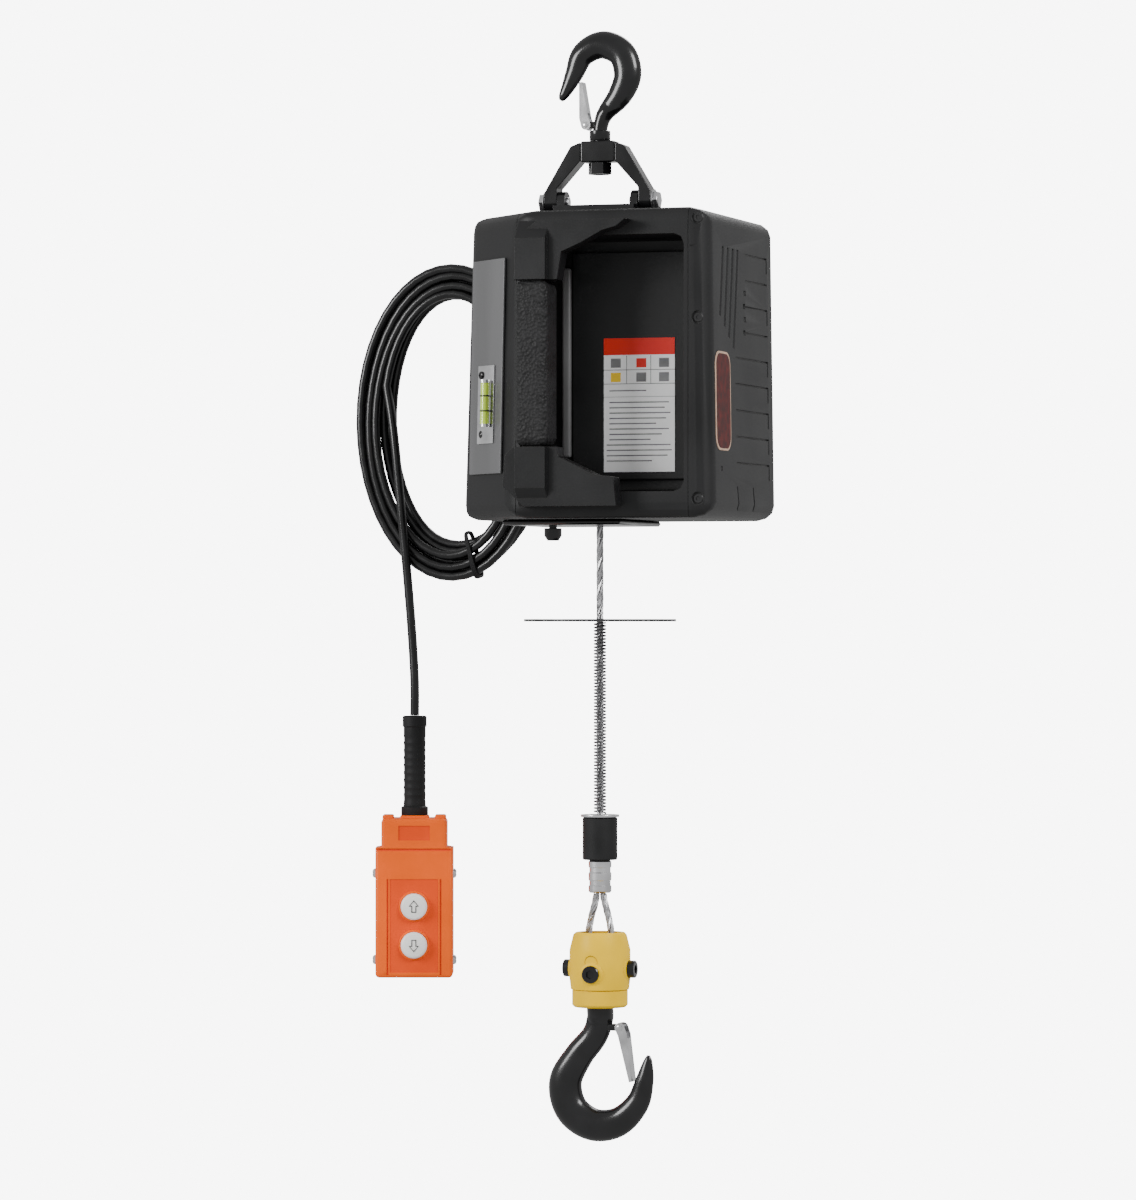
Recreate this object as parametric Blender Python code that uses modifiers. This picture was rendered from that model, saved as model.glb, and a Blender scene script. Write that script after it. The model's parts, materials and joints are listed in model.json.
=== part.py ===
"""Portable electric wire rope hoist: suspension hook, yoke, housing, drive, rope, hook block and pendant.

Metres, +Z up. The origin is the load seat of the suspension hook, the highest point inside its bowl.
+X is the right-hand cover, -Y is the front with the carrying handle.
"""

import math

import bmesh
import bpy
from mathutils import Matrix, Vector

GAP = 0.0003
SMOOTH_BELOW = math.radians(35)

# Suspension hook and swivel yoke
SHANK_R = 0.0060
HOOK_FLAT = 0.72
SWIVEL_BORE_GAP = 0.0006
BLOCK_TOP = -0.0660
BLOCK_H = 0.0170
BLOCK_HALF = 0.0142
NUT_R = 0.0098
NUT_H = 0.0092
PIVOT_Z = -0.1140
LEG_IN = 0.0340
LEG_T = 0.0108
LEG_W = 0.0160
LUG_T = 0.0062
YOKE_BOLT_R = 0.0040
YOKE_HEAD_H = 0.0050

# Housing envelope
HOUSE_TOP = -0.1275
HOUSE_H = 0.2415
HOUSE_LEFT = -0.1055
HOUSE_RIGHT = 0.1215
HOUSE_FRONT = -0.0950
HOUSE_BACK = 0.0950
FACET = 0.0620
WALL = 0.0030
EDGE_R = 0.0120
LEAN_LEFT = 0.0075
LEAN_RIGHT = 0.0035
SEAM_LEFT = -0.0400
SEAM_RIGHT = 0.1018
RECESS_LEFT = -0.0360
RECESS_RIGHT = 0.0985
RECESS_DEPTH = 0.0500
RECESS_MARGIN = 0.0205
PANEL_T = 0.0025
PANEL_LEFT = -0.0080

# Handle
HANDLE_X = -0.0205
HANDLE_W = 0.0250
HANDLE_D = 0.0300
HANDLE_PROUD = 0.0220
CORE_W = 0.0160
CORE_D = 0.0200
GRIP_LEN = 0.1300
HANDLE_MARGIN = 0.0090
WING_T = 0.0160

# Rope, drum and drive
ROPE_D = 0.0060
WINDING_R = 0.0350
DRUM_CORE_R = 0.0200
DRUM_HALF = 0.0405
FLANGE_R = 0.0420
FLANGE_T = 0.0030
DRUM_Z = -0.3000
DRUM_SHAFT_R = 0.0080
BEARING_R = 0.0135
FRAME_IN = 0.0450
FRAME_T = 0.0030
DRUM_TEETH = 54
SMALL_TEETH = 12
SLOW_MODULE = 0.0015
LARGE_TEETH = 65
PINION_TEETH = 13
FAST_MODULE = 0.0010
GEAR_W = 0.0100
GEAR_CLEAR = 0.0015
MOTOR_R = 0.0330
MOTOR_HALF = 0.0440
MOTOR_SHAFT_R = 0.0040
ARMATURE_R = 0.0260
FAN_R = 0.0300

# Rope end and hook block
DISC_R = 0.0610
DISC_T = 0.0020
DISC_TOP = -0.4480
SPRING_R = 0.0052
SPRING_WALL = 0.0014
SPRING_LEN = 0.1540
WASHER_R = 0.0155
WASHER_T = 0.0020
BUFFER_R = 0.0140
BUFFER_LEN = 0.0340
FERRULE_R = 0.0092
FERRULE_LEN = 0.0260
EYE_DROP = 0.0545
EYE_PIN_R = 0.0050
CASING_TOP = -0.6984
CASING_LEN = 0.0456
CASING_R = 0.0245
CASING_BORE = 0.0180
COLLAR_R = 0.0224
COLLAR_LEN = 0.0140
LOAD_SHANK_R = 0.0108
LOAD_HEAD_R = 0.0160
LOAD_BOWL_Z = -0.8200

# Pendant and its lead
LEAD_D = 0.0075
COIL_X = -0.1615
COIL_Z = -0.2840
COIL_HALF_W = 0.0873
COIL_HALF_H = 0.1330
COIL_BAND = 0.0360
COIL_T = 0.0160
COIL_FRONT = 0.1005
PENDANT_X = -0.1910
PENDANT_Y = 0.0940
PENDANT_TURN = math.radians(18)
PENDANT_TOP = -0.6125
PENDANT_H = 0.1315
PENDANT_W = 0.0640
PENDANT_D = 0.0400
BUTTON_R = 0.0110
BUTTON_PITCH = 0.0318
RELIEF_R = 0.0092
RELIEF_LEN = 0.0845

HOUSE_BOTTOM = HOUSE_TOP - HOUSE_H
DRUM_Y = WINDING_R + GAP + ROPE_D / 2
SLOW_SPAN = SLOW_MODULE * (DRUM_TEETH + SMALL_TEETH) / 2
FAST_SPAN = FAST_MODULE * (LARGE_TEETH + PINION_TEETH) / 2
COMPOUND_Z = DRUM_Z + SLOW_SPAN
MOTOR_Z = COMPOUND_Z + FAST_SPAN
FAST_X = -FRAME_IN - FRAME_T - GEAR_CLEAR - GEAR_W / 2
SLOW_X = FAST_X - GEAR_W - GEAR_CLEAR
DISC_LOW = DISC_TOP - DISC_T
WASHER_TOP = DISC_LOW - GAP - SPRING_LEN
BUFFER_TOP = WASHER_TOP - WASHER_T - GAP
FERRULE_TOP = BUFFER_TOP - BUFFER_LEN - GAP
FERRULE_LOW = FERRULE_TOP - FERRULE_LEN
CASING_LOW = CASING_TOP - CASING_LEN
COLLAR_TOP = CASING_LOW - GAP
COLLAR_LOW = COLLAR_TOP - COLLAR_LEN
EYE_PIN_Z = FERRULE_LOW - EYE_DROP
COIL_Y = COIL_FRONT + COIL_T / 2
RECESS_FLOOR = HOUSE_FRONT + RECESS_DEPTH
PLATE_T = 0.0042
PLUNGER = Vector((-0.0330, -0.0200, 0.0))
PLUNGER_R = 0.0070
PLUNGER_STEM_R = 0.0032
LEAD_EXIT = Vector((-0.0200, HOUSE_BACK + GAP, -0.3350))

MATERIALS = {}
PARTS = None
CUTTERS = None


def clear_scene():
    for thing in list(bpy.data.objects):
        bpy.data.objects.remove(thing, do_unlink=True)


def make_collection(name):
    group = bpy.data.collections.new(name)
    bpy.context.scene.collection.children.link(group)
    return group


def finish(name, colour, roughness, metallic=0.0):
    material = bpy.data.materials.new(name)
    material.use_nodes = True
    shader = material.node_tree.nodes["Principled BSDF"]
    shader.inputs["Base Color"].default_value = (*colour, 1.0)
    shader.inputs["Roughness"].default_value = roughness
    shader.inputs["Metallic"].default_value = metallic
    MATERIALS[name] = material


def make_materials():
    finish("black_enamel", (0.012, 0.012, 0.013), 0.25)
    finish("black_moulding", (0.030, 0.030, 0.032), 0.55)
    finish("grey_panel", (0.130, 0.130, 0.135), 0.40)
    finish("black_rubber", (0.015, 0.015, 0.015), 0.80)
    finish("bright_steel", (0.620, 0.620, 0.630), 0.30, 1.0)
    finish("rope_steel", (0.480, 0.480, 0.490), 0.42, 1.0)
    finish("yellow_paint", (0.900, 0.640, 0.010), 0.35)
    finish("orange_case", (0.900, 0.170, 0.010), 0.40)
    finish("white_button", (0.800, 0.800, 0.780), 0.35)
    finish("level_fluid", (0.700, 0.850, 0.100), 0.15)
    finish("motor_steel", (0.250, 0.260, 0.280), 0.45, 1.0)
    finish("copper", (0.720, 0.320, 0.140), 0.40, 1.0)


def add(name, mesh, material=None, matrix=None):
    """Put a mesh in the part's collection, or in the cutters' when it has no material."""
    thing = bpy.data.objects.new(name, mesh)
    if matrix is not None:
        thing.matrix_world = matrix
    if material is None:
        CUTTERS.objects.link(thing)
        thing.hide_render = True
        thing.display_type = "WIRE"
    else:
        PARTS.objects.link(thing)
        mesh.materials.append(MATERIALS[material])
    return thing


def box(name, low, high, material=None, origin=None):
    """A box between two corners, with its origin at its middle or at the given point."""
    low = Vector(low)
    high = Vector(high)
    middle = (low + high) / 2
    centre = Vector(origin) if origin is not None else middle
    sides = high - low
    work = bmesh.new()
    grow = Matrix.Translation(middle - centre) @ Matrix.Diagonal((*sides, 1.0))
    bmesh.ops.create_cube(work, size=1.0, matrix=grow)
    mesh = bpy.data.meshes.new(name)
    work.to_mesh(mesh)
    work.free()
    return add(name, mesh, material, Matrix.Translation(centre))


def axis_matrix(axis, origin):
    """Turn local +Z to the world axis X, Y or Z, at a point."""
    turns = {
        "X": Matrix.Rotation(math.pi / 2, 4, "Y"),
        "Y": Matrix.Rotation(-math.pi / 2, 4, "X"),
        "Z": Matrix.Identity(4),
    }
    return Matrix.Translation(Vector(origin)) @ turns[axis]


def turned(name, profile, origin, material=None, axis="Z", steps=24, ring=False):
    """A profile of (radius, height) pairs, down its outer side, spun about the axis."""
    mesh = bpy.data.meshes.new(name)
    verts = [(radius, 0.0, height) for radius, height in profile]
    edges = [(i, i + 1) for i in range(len(verts) - 1)]
    if ring:
        edges.append((len(verts) - 1, 0))
    mesh.from_pydata(verts, edges, [])
    thing = add(name, mesh, material, axis_matrix(axis, origin))
    screw = thing.modifiers.new("turn", "SCREW")
    screw.steps = steps
    screw.render_steps = steps
    screw.use_merge_vertices = True
    screw.merge_threshold = 0.00001
    screw.use_smooth_shade = False
    return thing


def rod(name, low, high, radius, centre, material=None, axis="Z", steps=20):
    """A plain cylinder between two heights along an axis through the centre."""
    profile = [(0.0, high), (radius, high), (radius, low), (0.0, low)]
    return turned(name, profile, centre, material, axis, steps)


def pipe(name, low, high, radius, bore, centre, material=None, axis="Z", steps=24):
    profile = [(radius, high), (radius, low), (bore, low), (bore, high)]
    return turned(name, profile, centre, material, axis, steps, ring=True)


def to_mesh(curve, material):
    """Make a curve object a closed mesh object of the same name and place."""
    bpy.context.view_layer.update()
    graph = bpy.context.evaluated_depsgraph_get()
    mesh = bpy.data.meshes.new_from_object(curve.evaluated_get(graph))
    work = bmesh.new()
    work.from_mesh(mesh)
    bmesh.ops.remove_doubles(work, verts=work.verts, dist=0.000005)
    bmesh.ops.recalc_face_normals(work, faces=work.faces)
    work.to_mesh(mesh)
    work.free()
    mesh.materials.clear()
    matrix = curve.matrix_world.copy()
    name = curve.name
    data = curve.data
    bpy.data.objects.remove(curve)
    bpy.data.curves.remove(data)
    mesh.name = name
    return add(name, mesh, material, matrix)


def slab(name, outlines, thickness, matrix, material=None):
    """A flat outline, with any holes after it, extruded evenly to both sides of its plane."""
    curve = bpy.data.curves.new(name, "CURVE")
    curve.dimensions = "2D"
    curve.fill_mode = "BOTH"
    curve.extrude = thickness / 2
    for outline in outlines:
        spline = curve.splines.new("POLY")
        spline.points.add(len(outline) - 1)
        for point, (across, up) in zip(spline.points, outline):
            point.co = (across, up, 0.0, 1.0)
        spline.use_cyclic_u = True
    thing = bpy.data.objects.new(name, curve)
    bpy.context.scene.collection.objects.link(thing)
    thing.matrix_world = matrix
    return to_mesh(thing, material)


def facing_y(x, y, z):
    """Outline (across, up) lies in X and Z, and the thickness runs along Y."""
    return Matrix.Translation((x, y, z)) @ Matrix.Rotation(math.pi / 2, 4, "X")


def facing_x(x, y, z):
    """Outline (across, up) lies in Y and Z, and the thickness runs along X."""
    turn = Matrix(((0, 0, 1, 0), (1, 0, 0, 0), (0, 1, 0, 0), (0, 0, 0, 1)))
    return Matrix.Translation((x, y, z)) @ turn


def circle(radius, centre=(0.0, 0.0), count=20):
    """Points of a circle round a centre."""
    points = []
    for i in range(count):
        angle = 2 * math.pi * i / count
        points.append((centre[0] + radius * math.cos(angle), centre[1] + radius * math.sin(angle)))
    return points


def bar(name, points, material, detail=4, sides=3, flat=1.0, origin=(0.0, 0.0, 0.0)):
    """A round bar through (x, y, z, radius) points, squeezed in Y by flat."""
    curve = bpy.data.curves.new(name, "CURVE")
    curve.dimensions = "3D"
    curve.bevel_depth = 1.0
    curve.bevel_resolution = sides
    curve.resolution_u = detail
    curve.use_fill_caps = True
    spline = curve.splines.new("BEZIER")
    spline.bezier_points.add(len(points) - 1)
    for point, (x, y, z, radius) in zip(spline.bezier_points, points):
        point.co = Vector((x, y, z)) - Vector(origin)
        point.radius = radius
        point.handle_left_type = "AUTO"
        point.handle_right_type = "AUTO"
    thing = bpy.data.objects.new(name, curve)
    bpy.context.scene.collection.objects.link(thing)
    thing.location = origin
    solid = to_mesh(thing, material)
    for vert in solid.data.vertices:
        vert.co.y *= flat
    return solid


def smooth_route(points, step):
    """Points about one step apart on a smooth curve through the route's own points."""
    ends = [points[0] * 2 - points[1]] + points + [points[-1] * 2 - points[-2]]
    route = []
    for before, start, end, after in zip(ends, ends[1:], ends[2:], ends[3:]):
        count = max(1, round((end - start).length / step))
        for i in range(count):
            t = i / count
            bend = (end - before) * t + (2 * before - 5 * start + 4 * end - after) * t * t
            bend += (3 * start - before - 3 * end + after) * t ** 3
            route.append(start + bend / 2)
    route.append(points[-1])
    return route


def cord_tube(name, points, diameter, material):
    """A tube along a hand-chosen route."""
    route = smooth_route([Vector(point) for point in points], diameter * 2.2)
    curve = bpy.data.curves.new(name, "CURVE")
    curve.dimensions = "3D"
    curve.bevel_depth = diameter / 2
    curve.bevel_resolution = 2
    curve.use_fill_caps = True
    spline = curve.splines.new("POLY")
    spline.points.add(len(route) - 1)
    for point, place in zip(spline.points, route):
        point.co = (*place, 1.0)
    thing = bpy.data.objects.new(name, curve)
    bpy.context.scene.collection.objects.link(thing)
    return to_mesh(thing, material)


def boolean(thing, other, operation="DIFFERENCE"):
    cut = thing.modifiers.new(operation.lower(), "BOOLEAN")
    cut.operation = operation
    cut.object = other
    return thing


def bevel(thing, width, segments=2):
    edge = thing.modifiers.new("edge", "BEVEL")
    edge.width = width
    edge.segments = segments
    edge.limit_method = "ANGLE"
    edge.angle_limit = math.radians(30)
    return thing


def gear_outline(teeth, module, phase):
    """Straight-flanked teeth with running clearance at tip, root and flank."""
    pitch_r = teeth * module / 2
    root_r = pitch_r - 1.15 * module
    tip_r = pitch_r + 0.80 * module
    step = 2 * math.pi / teeth
    points = []
    for i in range(teeth):
        middle = phase + i * step
        for radius, share in ((root_r, -0.29), (tip_r, -0.11), (tip_r, 0.11), (root_r, 0.29)):
            angle = middle + share * step
            points.append((radius * math.cos(angle), radius * math.sin(angle)))
    return points


def gear(name, teeth, module, bore, x, centre_z, phase, material=None):
    """A spur gear on the drive's line of shafts, its middle at x."""
    outlines = [gear_outline(teeth, module, phase)]
    if bore:
        outlines.append(circle(bore, count=16))
    return slab(name, outlines, GEAR_W, facing_x(x, DRUM_Y, centre_z), material)


def latch_set(name, pivot, reach, tilt, width, shank_side, hook):
    """A sprung latch whose two ears turn on a pin riveted in a lug of the hook."""
    ear = 0.0012
    pin_r = 0.0016
    lug_half = width / 2 - ear - GAP
    lug = box(name + "_lug", (min(pivot.x, shank_side), -lug_half, pivot.z - 0.0026),
              (max(pivot.x, shank_side), lug_half, pivot.z + 0.0026))
    boolean(hook, lug, "UNION")
    nose = rod(name + "_nose", -lug_half, lug_half, 0.0026, pivot, axis="Y", steps=16)
    boolean(hook, nose, "UNION")
    pin = rod(name + "_pin", -width / 2 - 0.0008, width / 2 + 0.0008, pin_r, pivot, axis="Y", steps=16)
    boolean(hook, pin, "UNION")
    hole = rod(name + "_hole", -width, width, pin_r + GAP, pivot, axis="Y", steps=16)
    outline = circle(0.0040, count=16)[0:9] + [(-0.0026, -0.006), (-0.0012, -reach), (0.0014, -reach),
                                              (0.0048, -0.006)]
    turn = Matrix.Rotation(tilt, 4, "Y")
    place = Matrix.Translation(pivot) @ turn @ Matrix.Rotation(math.pi / 2, 4, "X")
    latch = slab(name, [outline], width, place, "bright_steel")
    slot = box(name + "_slot", (-0.0060, -lug_half - GAP, -0.0095), (0.0060, lug_half + GAP, 0.0060))
    slot.matrix_world = Matrix.Translation(pivot) @ turn @ slot.matrix_world
    boolean(latch, slot)
    boolean(latch, hole)
    return latch


def make_suspension_hook():
    """Forged hook with its bowl above the shank, open to the lower left, and its nut."""
    points = [
        (0.0, 0, BLOCK_TOP - BLOCK_H - NUT_H, SHANK_R),
        (0.0, 0, -0.0620, SHANK_R),
        (0.0010, 0, -0.0520, SHANK_R),
        (0.0050, 0, -0.0430, 0.0070),
        (0.0170, 0, -0.0290, 0.0100),
        (0.0232, 0, -0.0130, 0.0113),
        (0.0180, 0, 0.0040, 0.0114),
        (0.0020, 0, 0.0113, 0.0112),
        (-0.0140, 0, 0.0042, 0.0098),
        (-0.0215, 0, -0.0110, 0.0076),
        (-0.0270, 0, -0.0220, 0.0056),
        (-0.0318, 0, -0.0300, 0.0036),
    ]
    hook = bar("suspension_hook", points, "black_enamel")
    for vert in hook.data.vertices:
        if vert.co.z > -0.040:
            vert.co.y *= HOOK_FLAT
    collar = rod("hook_collar", BLOCK_TOP + GAP, -0.0575, 0.0084, (0, 0, 0))
    boolean(hook, collar, "UNION")
    latch_set("suspension_latch", Vector((-0.0105, 0, -0.0528)), 0.0345, math.radians(173), 0.0100, 0.0, hook)
    nut_low = BLOCK_TOP - BLOCK_H - GAP - NUT_H
    outlines = [circle(NUT_R, count=6), circle(SHANK_R + GAP)]
    slab("suspension_nut", outlines, NUT_H, Matrix.Translation((0, 0, nut_low + NUT_H / 2)), "black_enamel")
    return hook


def make_yoke():
    """Swivel block with two cranked legs that carry the housing's lugs."""
    low = BLOCK_TOP - BLOCK_H
    block = box("yoke_block", (-BLOCK_HALF, -LEG_W / 2, low), (BLOCK_HALF, LEG_W / 2, BLOCK_TOP), "black_enamel",
                origin=(0, 0, BLOCK_TOP))
    bevel(block, 0.0015)
    bore = rod("block_bore", low - 0.01, BLOCK_TOP + 0.01, SHANK_R + SWIVEL_BORE_GAP, (0, 0, 0))
    boolean(block, bore)
    inner = BLOCK_HALF + GAP
    outer = LEG_IN + LEG_T
    foot_r = LEG_W / 2
    for side, word in ((-1, "left"), (1, "right")):
        outline = [
            (side * inner, BLOCK_TOP - 0.0010),
            (side * (inner + 0.0080), BLOCK_TOP - 0.0040),
            (side * outer, PIVOT_Z + foot_r - 0.0010),
            (side * outer, PIVOT_Z - foot_r),
            (side * LEG_IN, PIVOT_Z - foot_r),
            (side * LEG_IN, PIVOT_Z + 0.0105),
            (side * inner, low + 0.0010),
        ]
        leg = slab("yoke_leg_" + word, [outline], LEG_W, facing_y(0, 0, 0), "black_enamel")
        hole = rod("leg_hole_" + word, -0.08, 0.08, YOKE_BOLT_R + GAP, (0, 0, PIVOT_Z), axis="X")
        round_end = rod("leg_round_" + word, -0.08, 0.08, foot_r, (0, 0, PIVOT_Z), axis="X", steps=32)
        keep = box("leg_keep_" + word, (-0.08, -0.02, PIVOT_Z), (0.08, 0.02, 0.0))
        boolean(keep, round_end, "UNION")
        boolean(leg, keep, "INTERSECT")
        boolean(leg, hole)


def make_top_bracket():
    """Plate on the housing's top with a lug at each end, and the two bolts it swings on."""
    lug_out = LEG_IN - GAP
    lug_in = lug_out - LUG_T
    base = HOUSE_TOP + GAP
    bracket = box("top_bracket", (-lug_out, -0.0180, base), (lug_out, 0.0180, base + 0.0095), "black_enamel")
    for side, word in ((-1, "left"), (1, "right")):
        near = side * lug_in
        far = side * lug_out
        lug = box("lug_" + word, (min(near, far), -0.0085, base + 0.0010), (max(near, far), 0.0085, PIVOT_Z))
        eye = rod("lug_eye_" + word, min(near, far), max(near, far), 0.0085, (0, 0, PIVOT_Z), axis="X", steps=24)
        boolean(bracket, lug, "UNION")
        boolean(bracket, eye, "UNION")
    hole = rod("bracket_hole", -0.08, 0.08, YOKE_BOLT_R + GAP, (0, 0, PIVOT_Z), axis="X")
    boolean(bracket, hole)
    head_in = LEG_IN + LEG_T + GAP
    head_out = head_in + YOKE_HEAD_H
    tail = lug_in - 0.0020
    right = [(0, head_out), (0.0072, head_out), (0.0072, head_in), (YOKE_BOLT_R, head_in), (YOKE_BOLT_R, tail),
             (0, tail)]
    left = [(0, -tail), (YOKE_BOLT_R, -tail), (YOKE_BOLT_R, -head_in), (0.0072, -head_in), (0.0072, -head_out),
            (0, -head_out)]
    turned("yoke_bolt_right", right, (0, 0, PIVOT_Z), "bright_steel", "X", 12)
    turned("yoke_bolt_left", left, (0, 0, PIVOT_Z), "bright_steel", "X", 12)


def envelope(name, inset, material=None):
    """The housing's outer form, or the same form inset by a wall."""
    left = HOUSE_LEFT + inset
    right = HOUSE_RIGHT - inset
    front = HOUSE_FRONT + inset
    back = HOUSE_BACK - inset
    cut = FACET - inset * (2 - math.sqrt(2))
    outline = [(left, front + cut), (left + cut, front), (right, front), (right, back), (left, back)]
    height = HOUSE_H - 2 * inset
    middle = (HOUSE_TOP + HOUSE_BOTTOM) / 2
    solid = slab(name, [outline], height, Matrix.Translation((0, 0, middle)), material)
    for vert in solid.data.vertices:
        if vert.co.z > 0:
            vert.co.x += LEAN_LEFT if vert.co.x < 0 else -LEAN_RIGHT
    bevel(solid, EDGE_R - inset, 3)
    return solid


def recess(name, grow):
    """The hand recess in the front, or the same space grown by a wall."""
    low = (RECESS_LEFT - grow, HOUSE_FRONT - 0.05, HOUSE_BOTTOM + RECESS_MARGIN - grow)
    high = (RECESS_RIGHT + grow, RECESS_FLOOR + grow, HOUSE_TOP - RECESS_MARGIN + grow)
    return bevel(box(name, low, high), 0.0080 + grow, 2)


def make_shells():
    """Left cover, centre shell and right cover, split from one thin-walled form."""
    hollow = envelope("hollow", WALL)
    boolean(hollow, recess("recess_grown", WALL))
    hand_space = recess("hand_space", 0.0)
    far = 0.30
    spans = (
        ("left_cover", -far, SEAM_LEFT - GAP),
        ("centre_shell", SEAM_LEFT, SEAM_RIGHT),
        ("right_cover", SEAM_RIGHT + GAP, far),
    )
    rope_hole = rod("rope_hole", HOUSE_BOTTOM - 0.01, HOUSE_BOTTOM + 0.02, 0.0090, (0, 0, 0))
    stem_hole = rod("stem_hole", HOUSE_BOTTOM - 0.01, HOUSE_BOTTOM + 0.02, PLUNGER_STEM_R + 0.0010, PLUNGER)
    for name, low, high in spans:
        shell = envelope(name, 0.0, "black_moulding")
        boolean(shell, hollow)
        if name == "centre_shell":
            boolean(shell, hand_space)
            boolean(shell, rope_hole)
            boolean(shell, stem_hole)
        span = box(name + "_span", (low, -far, HOUSE_BOTTOM - far), (high, far, HOUSE_TOP + far))
        boolean(shell, span, "INTERSECT")


def make_front_panel():
    """Panel that stands on the recess's floor."""
    top = HOUSE_TOP - RECESS_MARGIN - 0.0100
    low = HOUSE_BOTTOM + RECESS_MARGIN + 0.0100
    back = RECESS_FLOOR - GAP
    right = RECESS_RIGHT - 0.0090
    panel = box("front_panel", (PANEL_LEFT, back - PANEL_T, low), (right, back, top), "black_moulding")
    bevel(panel, 0.0010, 1)


def facet_matrix(along, height, out):
    """A place on the slanted front-left facet: along it, up, and out from it."""
    start = Vector((HOUSE_LEFT, HOUSE_FRONT + FACET, 0))
    run = Vector((1, -1, 0)).normalized()
    normal = Vector((-1, -1, 0)).normalized()
    place = start + run * along + normal * out + Vector((0, 0, height))
    turn = Matrix((
        (run.x, 0, normal.x, place.x),
        (run.y, 0, normal.y, place.y),
        (0, 1, 0, place.z),
        (0, 0, 0, 1),
    ))
    return turn


def flat_plate(name, width, height, thickness, matrix, material):
    """A rectangle centred on the matrix's origin, its back on the matrix's plane."""
    half_w = width / 2
    half_h = height / 2
    outline = [(-half_w, -half_h), (half_w, -half_h), (half_w, half_h), (-half_w, half_h)]
    lift = Matrix.Translation((0, 0, thickness / 2))
    return slab(name, [outline], thickness, matrix @ lift, material)


def make_level():
    """Pale facet panel with a spirit level."""
    along = FACET * math.sqrt(2) * 0.50
    panel_t = 0.0020
    height = (HOUSE_TOP + HOUSE_BOTTOM) / 2
    # The facet leans in, so the panel leans with it.
    inward = LEAN_LEFT / math.sqrt(2)
    seat = facet_matrix(along, height, -inward / 2) @ Matrix.Rotation(-math.atan(inward / HOUSE_H), 4, "X")
    seat = seat @ Matrix.Translation((0, 0, GAP))
    panel = flat_plate("left_panel", 0.0560, 0.1700, panel_t, seat, "grey_panel")
    low = seat @ Matrix.Translation((0.0020, -0.0300, panel_t + GAP))
    plate = flat_plate("level_plate", 0.0280, 0.0620, 0.0010, low, "bright_steel")
    vial_at = low @ Matrix.Translation((0.0080, -0.0180, 0.0010 + GAP + 0.0040))
    profile = [(0, 0.0370), (0.0036, 0.0370), (0.0036, 0.0), (0, 0.0)]
    vial = turned("level_vial", profile, (0, 0, 0), "level_fluid", steps=14)
    vial.matrix_world = vial_at @ Matrix.Rotation(-math.pi / 2, 4, "X")
    return panel, plate, vial


def make_handle():
    """Moulded handle with a knuckle at each end, and a rubber grip over its core."""
    front = HOUSE_FRONT - HANDLE_PROUD
    back = HOUSE_FRONT - GAP
    left = HANDLE_X - HANDLE_W / 2
    right = HANDLE_X + HANDLE_W / 2
    top = HOUSE_TOP - HANDLE_MARGIN
    low = HOUSE_BOTTOM + HANDLE_MARGIN
    middle = (HOUSE_TOP + HOUSE_BOTTOM) / 2
    core_y = front + HANDLE_D / 2
    core_half = Vector((CORE_W / 2, CORE_D / 2, 0))
    core = Vector((HANDLE_X, core_y, 0))
    handle = box("handle", core - core_half + Vector((0, 0, low + 0.014)),
                 core + core_half + Vector((0, 0, top - 0.014)), "black_moulding")
    deep = HOUSE_H / 2 - HANDLE_MARGIN - GRIP_LEN / 2 - GAP
    # Front views of the two swept ends that spread from the grip along the housing.
    high_wing = [
        (-0.0360, top - deep), (-0.0338, top - 0.0330), (-0.0242, top - 0.0060), (-0.0160, top),
        (0.0560, top), (0.0480, top - 0.0060), (0.0366, top - 0.0090), (0.0198, top - 0.0180),
        (0.0035, top - 0.0250), (0.0, top - deep),
    ]
    low_wing = [
        (-0.0360, low + deep), (0.0, low + deep), (0.0008, low + 0.0390), (0.0308, low + 0.0245),
        (0.0460, low + 0.0225), (0.0482, low), (-0.0275, low), (-0.0450, low + 0.0160),
        (-0.0430, low + 0.0400),
    ]
    knuckles = (("knuckle_top", top, -1, high_wing), ("knuckle_low", low, 1, low_wing))
    for name, end, inward, wing_outline in knuckles:
        outline = [
            (back, end),
            (front + 0.0110, end),
            (front, end + inward * 0.0140),
            (front, end + inward * deep),
            (front + HANDLE_D, end + inward * deep),
            (front + HANDLE_D, end + inward * 0.0260),
            (back, end + inward * 0.0160),
        ]
        knuckle = slab(name, [outline], HANDLE_W, facing_x(HANDLE_X, 0, 0))
        boolean(handle, knuckle, "UNION")
        wing = slab(name + "_wing", [wing_outline], WING_T, facing_y(0, back - WING_T / 2, 0))
        boolean(handle, wing, "UNION")
    grip_low = middle - GRIP_LEN / 2
    grip_high = middle + GRIP_LEN / 2
    grip = box("handle_grip", (left - 0.0015, front - 0.0015, grip_low),
               (right + 0.0015, front + HANDLE_D + 0.0015, grip_high), "black_rubber")
    bevel(grip, 0.0075, 3)
    space = Vector((GAP, GAP, 0))
    bore = box("grip_bore", core - core_half - space + Vector((0, 0, grip_low - 0.02)),
               core + core_half + space + Vector((0, 0, grip_high + 0.02)))
    boolean(grip, bore)


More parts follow.
